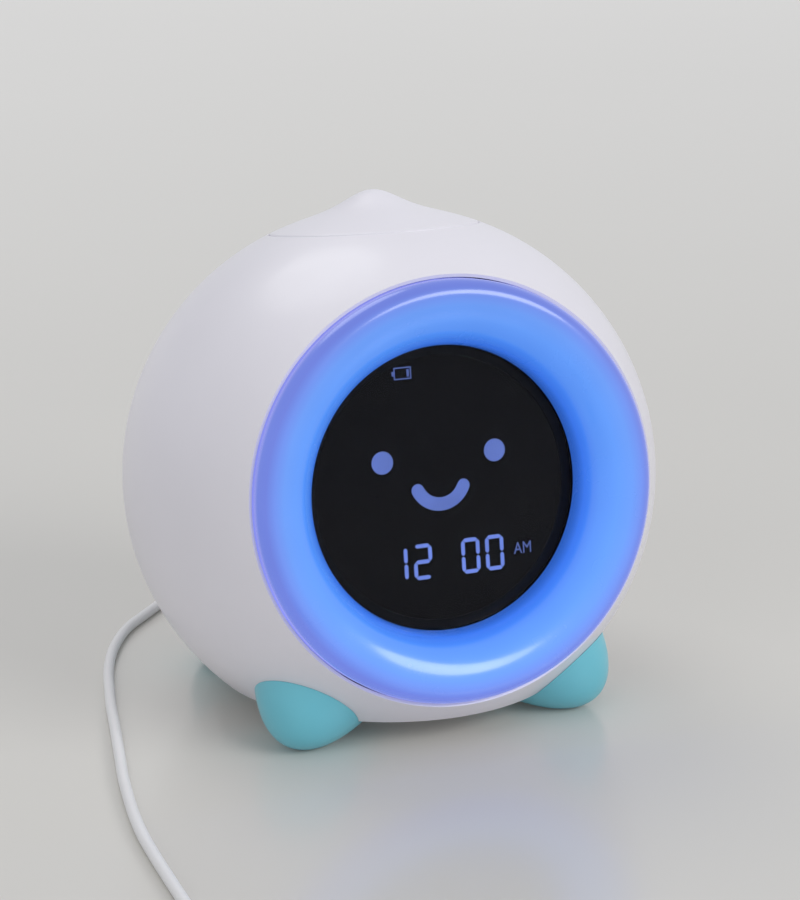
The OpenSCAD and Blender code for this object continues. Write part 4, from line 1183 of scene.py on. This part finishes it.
class CLOCK_OT_cap(bpy.types.Operator):
    """Turn the peaked press-down cap with its flange and stem"""

    bl_idname = "clock.cap"
    bl_label = "Cap"

    def execute(self, context):
        s = sizes()

        def skin(r):
            return math.sqrt(s.ball_r**2 - r * r) + s.peak_rise * math.exp(-((r / s.peak_w) ** 2))

        edge, inner_r = s.cap_r - 0.9 * MM, s.cap_r - s.cap_wall
        flange_r = s.cap_r + s.cap_flange
        flange_top = math.sqrt((s.ball_r - SHELL_WALL) ** 2 - flange_r**2) - s.show_gap
        flange_low = flange_top - 1.5 * MM
        points = [(r, skin(r)) for r in (edge * i / 44 for i in range(45))]
        corner = len(points)
        points += [
            (s.cap_r, skin(s.cap_r)), (s.cap_r, flange_top), (flange_r, flange_top),
            (flange_r, flange_low), (inner_r, flange_low),
        ]
        for i in range(14):
            r = inner_r - (inner_r - CAP_STEM_R) * i / 13
            points.append((r, skin(r) - s.cap_wall))
        points += [(CAP_STEM_R, CAP_STEM_END), (0, CAP_STEM_END)]
        bm = bmesh.new()
        lathe(bm, points, body_axes(s), 192, False, {corner: 0.45 * MM})
        for angle in (45, 135, 225, 315):
            rib = body_axes(s) @ turned(math.radians(angle)) @ at(*CAP_RIB_PLACE)
            block(bm, CAP_RIB, rib, 0.2 * MM, 2)
        new_piece("peaked_cap", bm, "cap", "shell_white", ["top_cap"])
        return {"FINISHED"}


class CLOCK_OT_feet(bpy.types.Operator):
    """Shape the four pebble feet and seat them against the ball"""

    bl_idname = "clock.feet"
    bl_label = "Feet"

    def execute(self, context):
        s = sizes()
        for side, word in ((-1, "left"), (1, "right")):
            self.foot(s, "front_pebble_" + word, s.foot_a, s.foot_b,
                      -math.pi / 2 + side * s.foot_yaw, s.ball_r - s.foot_inset, "foot_" + word)
            self.foot(s, "rear_pebble_" + word, s.rear_foot_a, s.rear_foot_b,
                      math.pi / 2 - side * s.rear_foot_yaw, s.ball_r - s.rear_foot_inset,
                      "rear_foot_" + word)
        return {"FINISHED"}

    def foot(self, s, name, a, b, yaw, out, node):
        drop = math.sqrt(b * b + (a * a - b * b) * math.sin(s.foot_pitch) ** 2)
        place = (
            under_ball(s) @ turned(yaw) @ at(out, 0, drop - s.foot_flat)
            @ turned(math.pi / 2 + s.foot_pitch, "Y")
        )
        bm = bmesh.new()
        bmesh.ops.create_uvsphere(bm, u_segments=96, v_segments=64, radius=1)
        bmesh.ops.scale(bm, vec=(b, b, a), verts=bm.verts)
        bmesh.ops.transform(bm, matrix=place, verts=bm.verts)
        slice_off(bm, (0, 0, 0), (0, 0, -1))
        soften(bm, 0.5 * MM, 3, 12, lambda e: all(v.co.z < 1e-5 for v in e.verts))
        foot = new_piece(name, bm, "case", "feet_teal", [node])
        ball = bmesh.new()
        bmesh.ops.create_uvsphere(
            ball, u_segments=160, v_segments=96, radius=s.ball_r + 0.1 * MM,
            matrix=ball_middle(s),
        )
        slice_off(ball, (0, 0, s.base_h - 0.05 * MM), (0, 0, -1))
        cut(foot, new_piece("cutter", ball, None, "feet_teal"))


# ---------------------------------------------------------------- rear controls

# The buttons in their order, each with the lines of its sign: a turn in degrees, then in
# millimetres where the line begins, where it ends and its width
BUTTONS = {
    "light": [(45 * i, 1.25, 0, 1.95, 0, 0.32) for i in range(8)],
    "sound": [(0, 0, -1.1, 0, 1.5, 0.3), (0, 0, 1.35, 1.1, 0.7, 0.4)],
    "alarm": [
        (0, 0, 0, 0, 0.8, 0.32), (0, 0, 0, 0.6, 0, 0.32), (-42, -0.6, 1.95, 0.6, 1.95, 0.4),
        (-150, 0, 1.4, 0, 2.0, 0.35), (42, -0.6, 1.95, 0.6, 1.95, 0.4),
        (150, 0, 1.4, 0, 2.0, 0.35),
    ],
    "minus": [(0, -1.5, 0, 1.5, 0, 0.45)],
    "clock": [(0, 0, 0, 0, 1.1, 0.35), (0, 0, 0, 0.8, -0.3, 0.35)],
    "plus": [(turn_by, -1.5, 0, 1.5, 0, 0.45) for turn_by in (0, 90)],
}
SIGN_HOOPS = {"light": 0.9, "alarm": 1.45, "clock": 1.8}
HOOP_W = 0.4
SIGN_T = 0.03 * MM


class CLOCK_OT_buttons(bpy.types.Operator):
    """Turn the six rear buttons and print their signs"""

    bl_idname = "clock.buttons"
    bl_label = "Buttons"

    def execute(self, context):
        s = sizes()
        for index, name in enumerate(BUTTONS):
            x = (index % 3 - 1) * s.button_dx
            y = s.button_row + (1 - index // 3) * s.button_dz
            place = rear_axes(s) @ at(-x, y)
            self.key(s, name, place)
            self.sign(name, place @ at(z=panel_q(s) + s.button_h - 0.14 * MM))
        return {"FINISHED"}

    def key(self, s, name, place):
        r, top = s.button_r, panel_q(s) + s.button_h
        inside = panel_q(s) - s.panel_t
        flange = inside - s.show_gap
        stem_r, stem = 1.5 * MM, inside - s.board_drop + 3.3 * MM
        points = [
            (0, top - 0.15 * MM), (r - 1.3 * MM, top - 0.15 * MM), (r - 0.6 * MM, top),
            (r, top - 0.3 * MM), (r, flange), (r + 1 * MM, flange),
            (r + 1 * MM, flange - 1.1 * MM), (stem_r, flange - 1.1 * MM), (stem_r, stem),
            (0, stem),
        ]
        bm = bmesh.new()
        lathe(bm, points, place, 72, False)
        soften(bm, 0.3 * MM, 3, 25)
        new_piece("key_" + name, bm, "button_" + name, "button_teal", ["button_" + name])

    def line(self, bm, place, x0, y0, x1, y1, wide):
        a, b = Vector((x0, y0)), Vector((x1, y1))
        middle, long = (a + b) / 2, (b - a).length
        angle = math.atan2(y1 - y0, x1 - x0)
        block(bm, mm(long, wide, 0.04), place @ at(*mm(*middle, 0.01)) @ turned(angle))

    def sign(self, name, place):
        bm = bmesh.new()
        if name in SIGN_HOOPS:
            r, inside = mm(SIGN_HOOPS[name], SIGN_HOOPS[name] - HOOP_W)
            lathe(bm, [(inside, 0), (r, 0), (r, SIGN_T), (inside, SIGN_T)], place, 40)
        if name == "sound":
            disc(bm, 0.6 * MM, SIGN_T, place @ at(*mm(-0.5, -1.1)), 24)
        for angle, *ends_and_width in BUTTONS[name]:
            self.line(bm, place @ turned(math.radians(angle)), *ends_and_width)
        new_piece("sign_" + name, bm, "button_" + name, "button_mark")


class CLOCK_OT_finishes(bpy.types.Operator):
    """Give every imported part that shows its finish"""

    bl_idname = "clock.finishes"
    bl_label = "Finishes"

    def execute(self, context):
        for part in frame["record"]["subparts"]:
            node = frame["nodes"][part["node"]]
            node.data.materials.clear()
            node.data.materials.append(finish(part["material_slot"]))
        return {"FINISHED"}


class CLOCK_PT_panel(bpy.types.Panel):
    """Steps of the clock, in order"""

    bl_label = "Night-Light Clock"
    bl_idname = "CLOCK_PT_panel"
    bl_space_type = "VIEW_3D"
    bl_region_type = "UI"
    bl_category = "Clock"

    def draw(self, context):
        for step in STEPS:
            self.layout.operator(step.bl_idname)
        for group in (colours(), sizes(), lead_sizes()):
            box = self.layout.box()
            for key in group.__annotations__:
                box.prop(group, key)


STEPS = (
    CLOCK_OT_stage, CLOCK_OT_charging_lead, CLOCK_OT_light_ring, CLOCK_OT_screen, CLOCK_OT_cap,
    CLOCK_OT_feet, CLOCK_OT_buttons, CLOCK_OT_finishes,
)
CLASSES = (ClockSizes, LeadSizes, ClockColours, *STEPS, CLOCK_PT_panel)


def register():
    for cls in CLASSES:
        bpy.utils.register_class(cls)
    bpy.types.Scene.clock_sizes = bpy.props.PointerProperty(type=ClockSizes)
    bpy.types.Scene.clock_lead = bpy.props.PointerProperty(type=LeadSizes)
    bpy.types.Scene.clock_colours = bpy.props.PointerProperty(type=ClockColours)


def unregister():
    del bpy.types.Scene.clock_colours
    del bpy.types.Scene.clock_lead
    del bpy.types.Scene.clock_sizes
    for cls in reversed(CLASSES):
        bpy.utils.unregister_class(cls)


def main():
    register()
    for step in STEPS:
        module, name = step.bl_idname.split(".")
        getattr(getattr(bpy.ops, module), name)()
    bpy.context.view_layer.update()


if __name__ == "__main__":
    main()
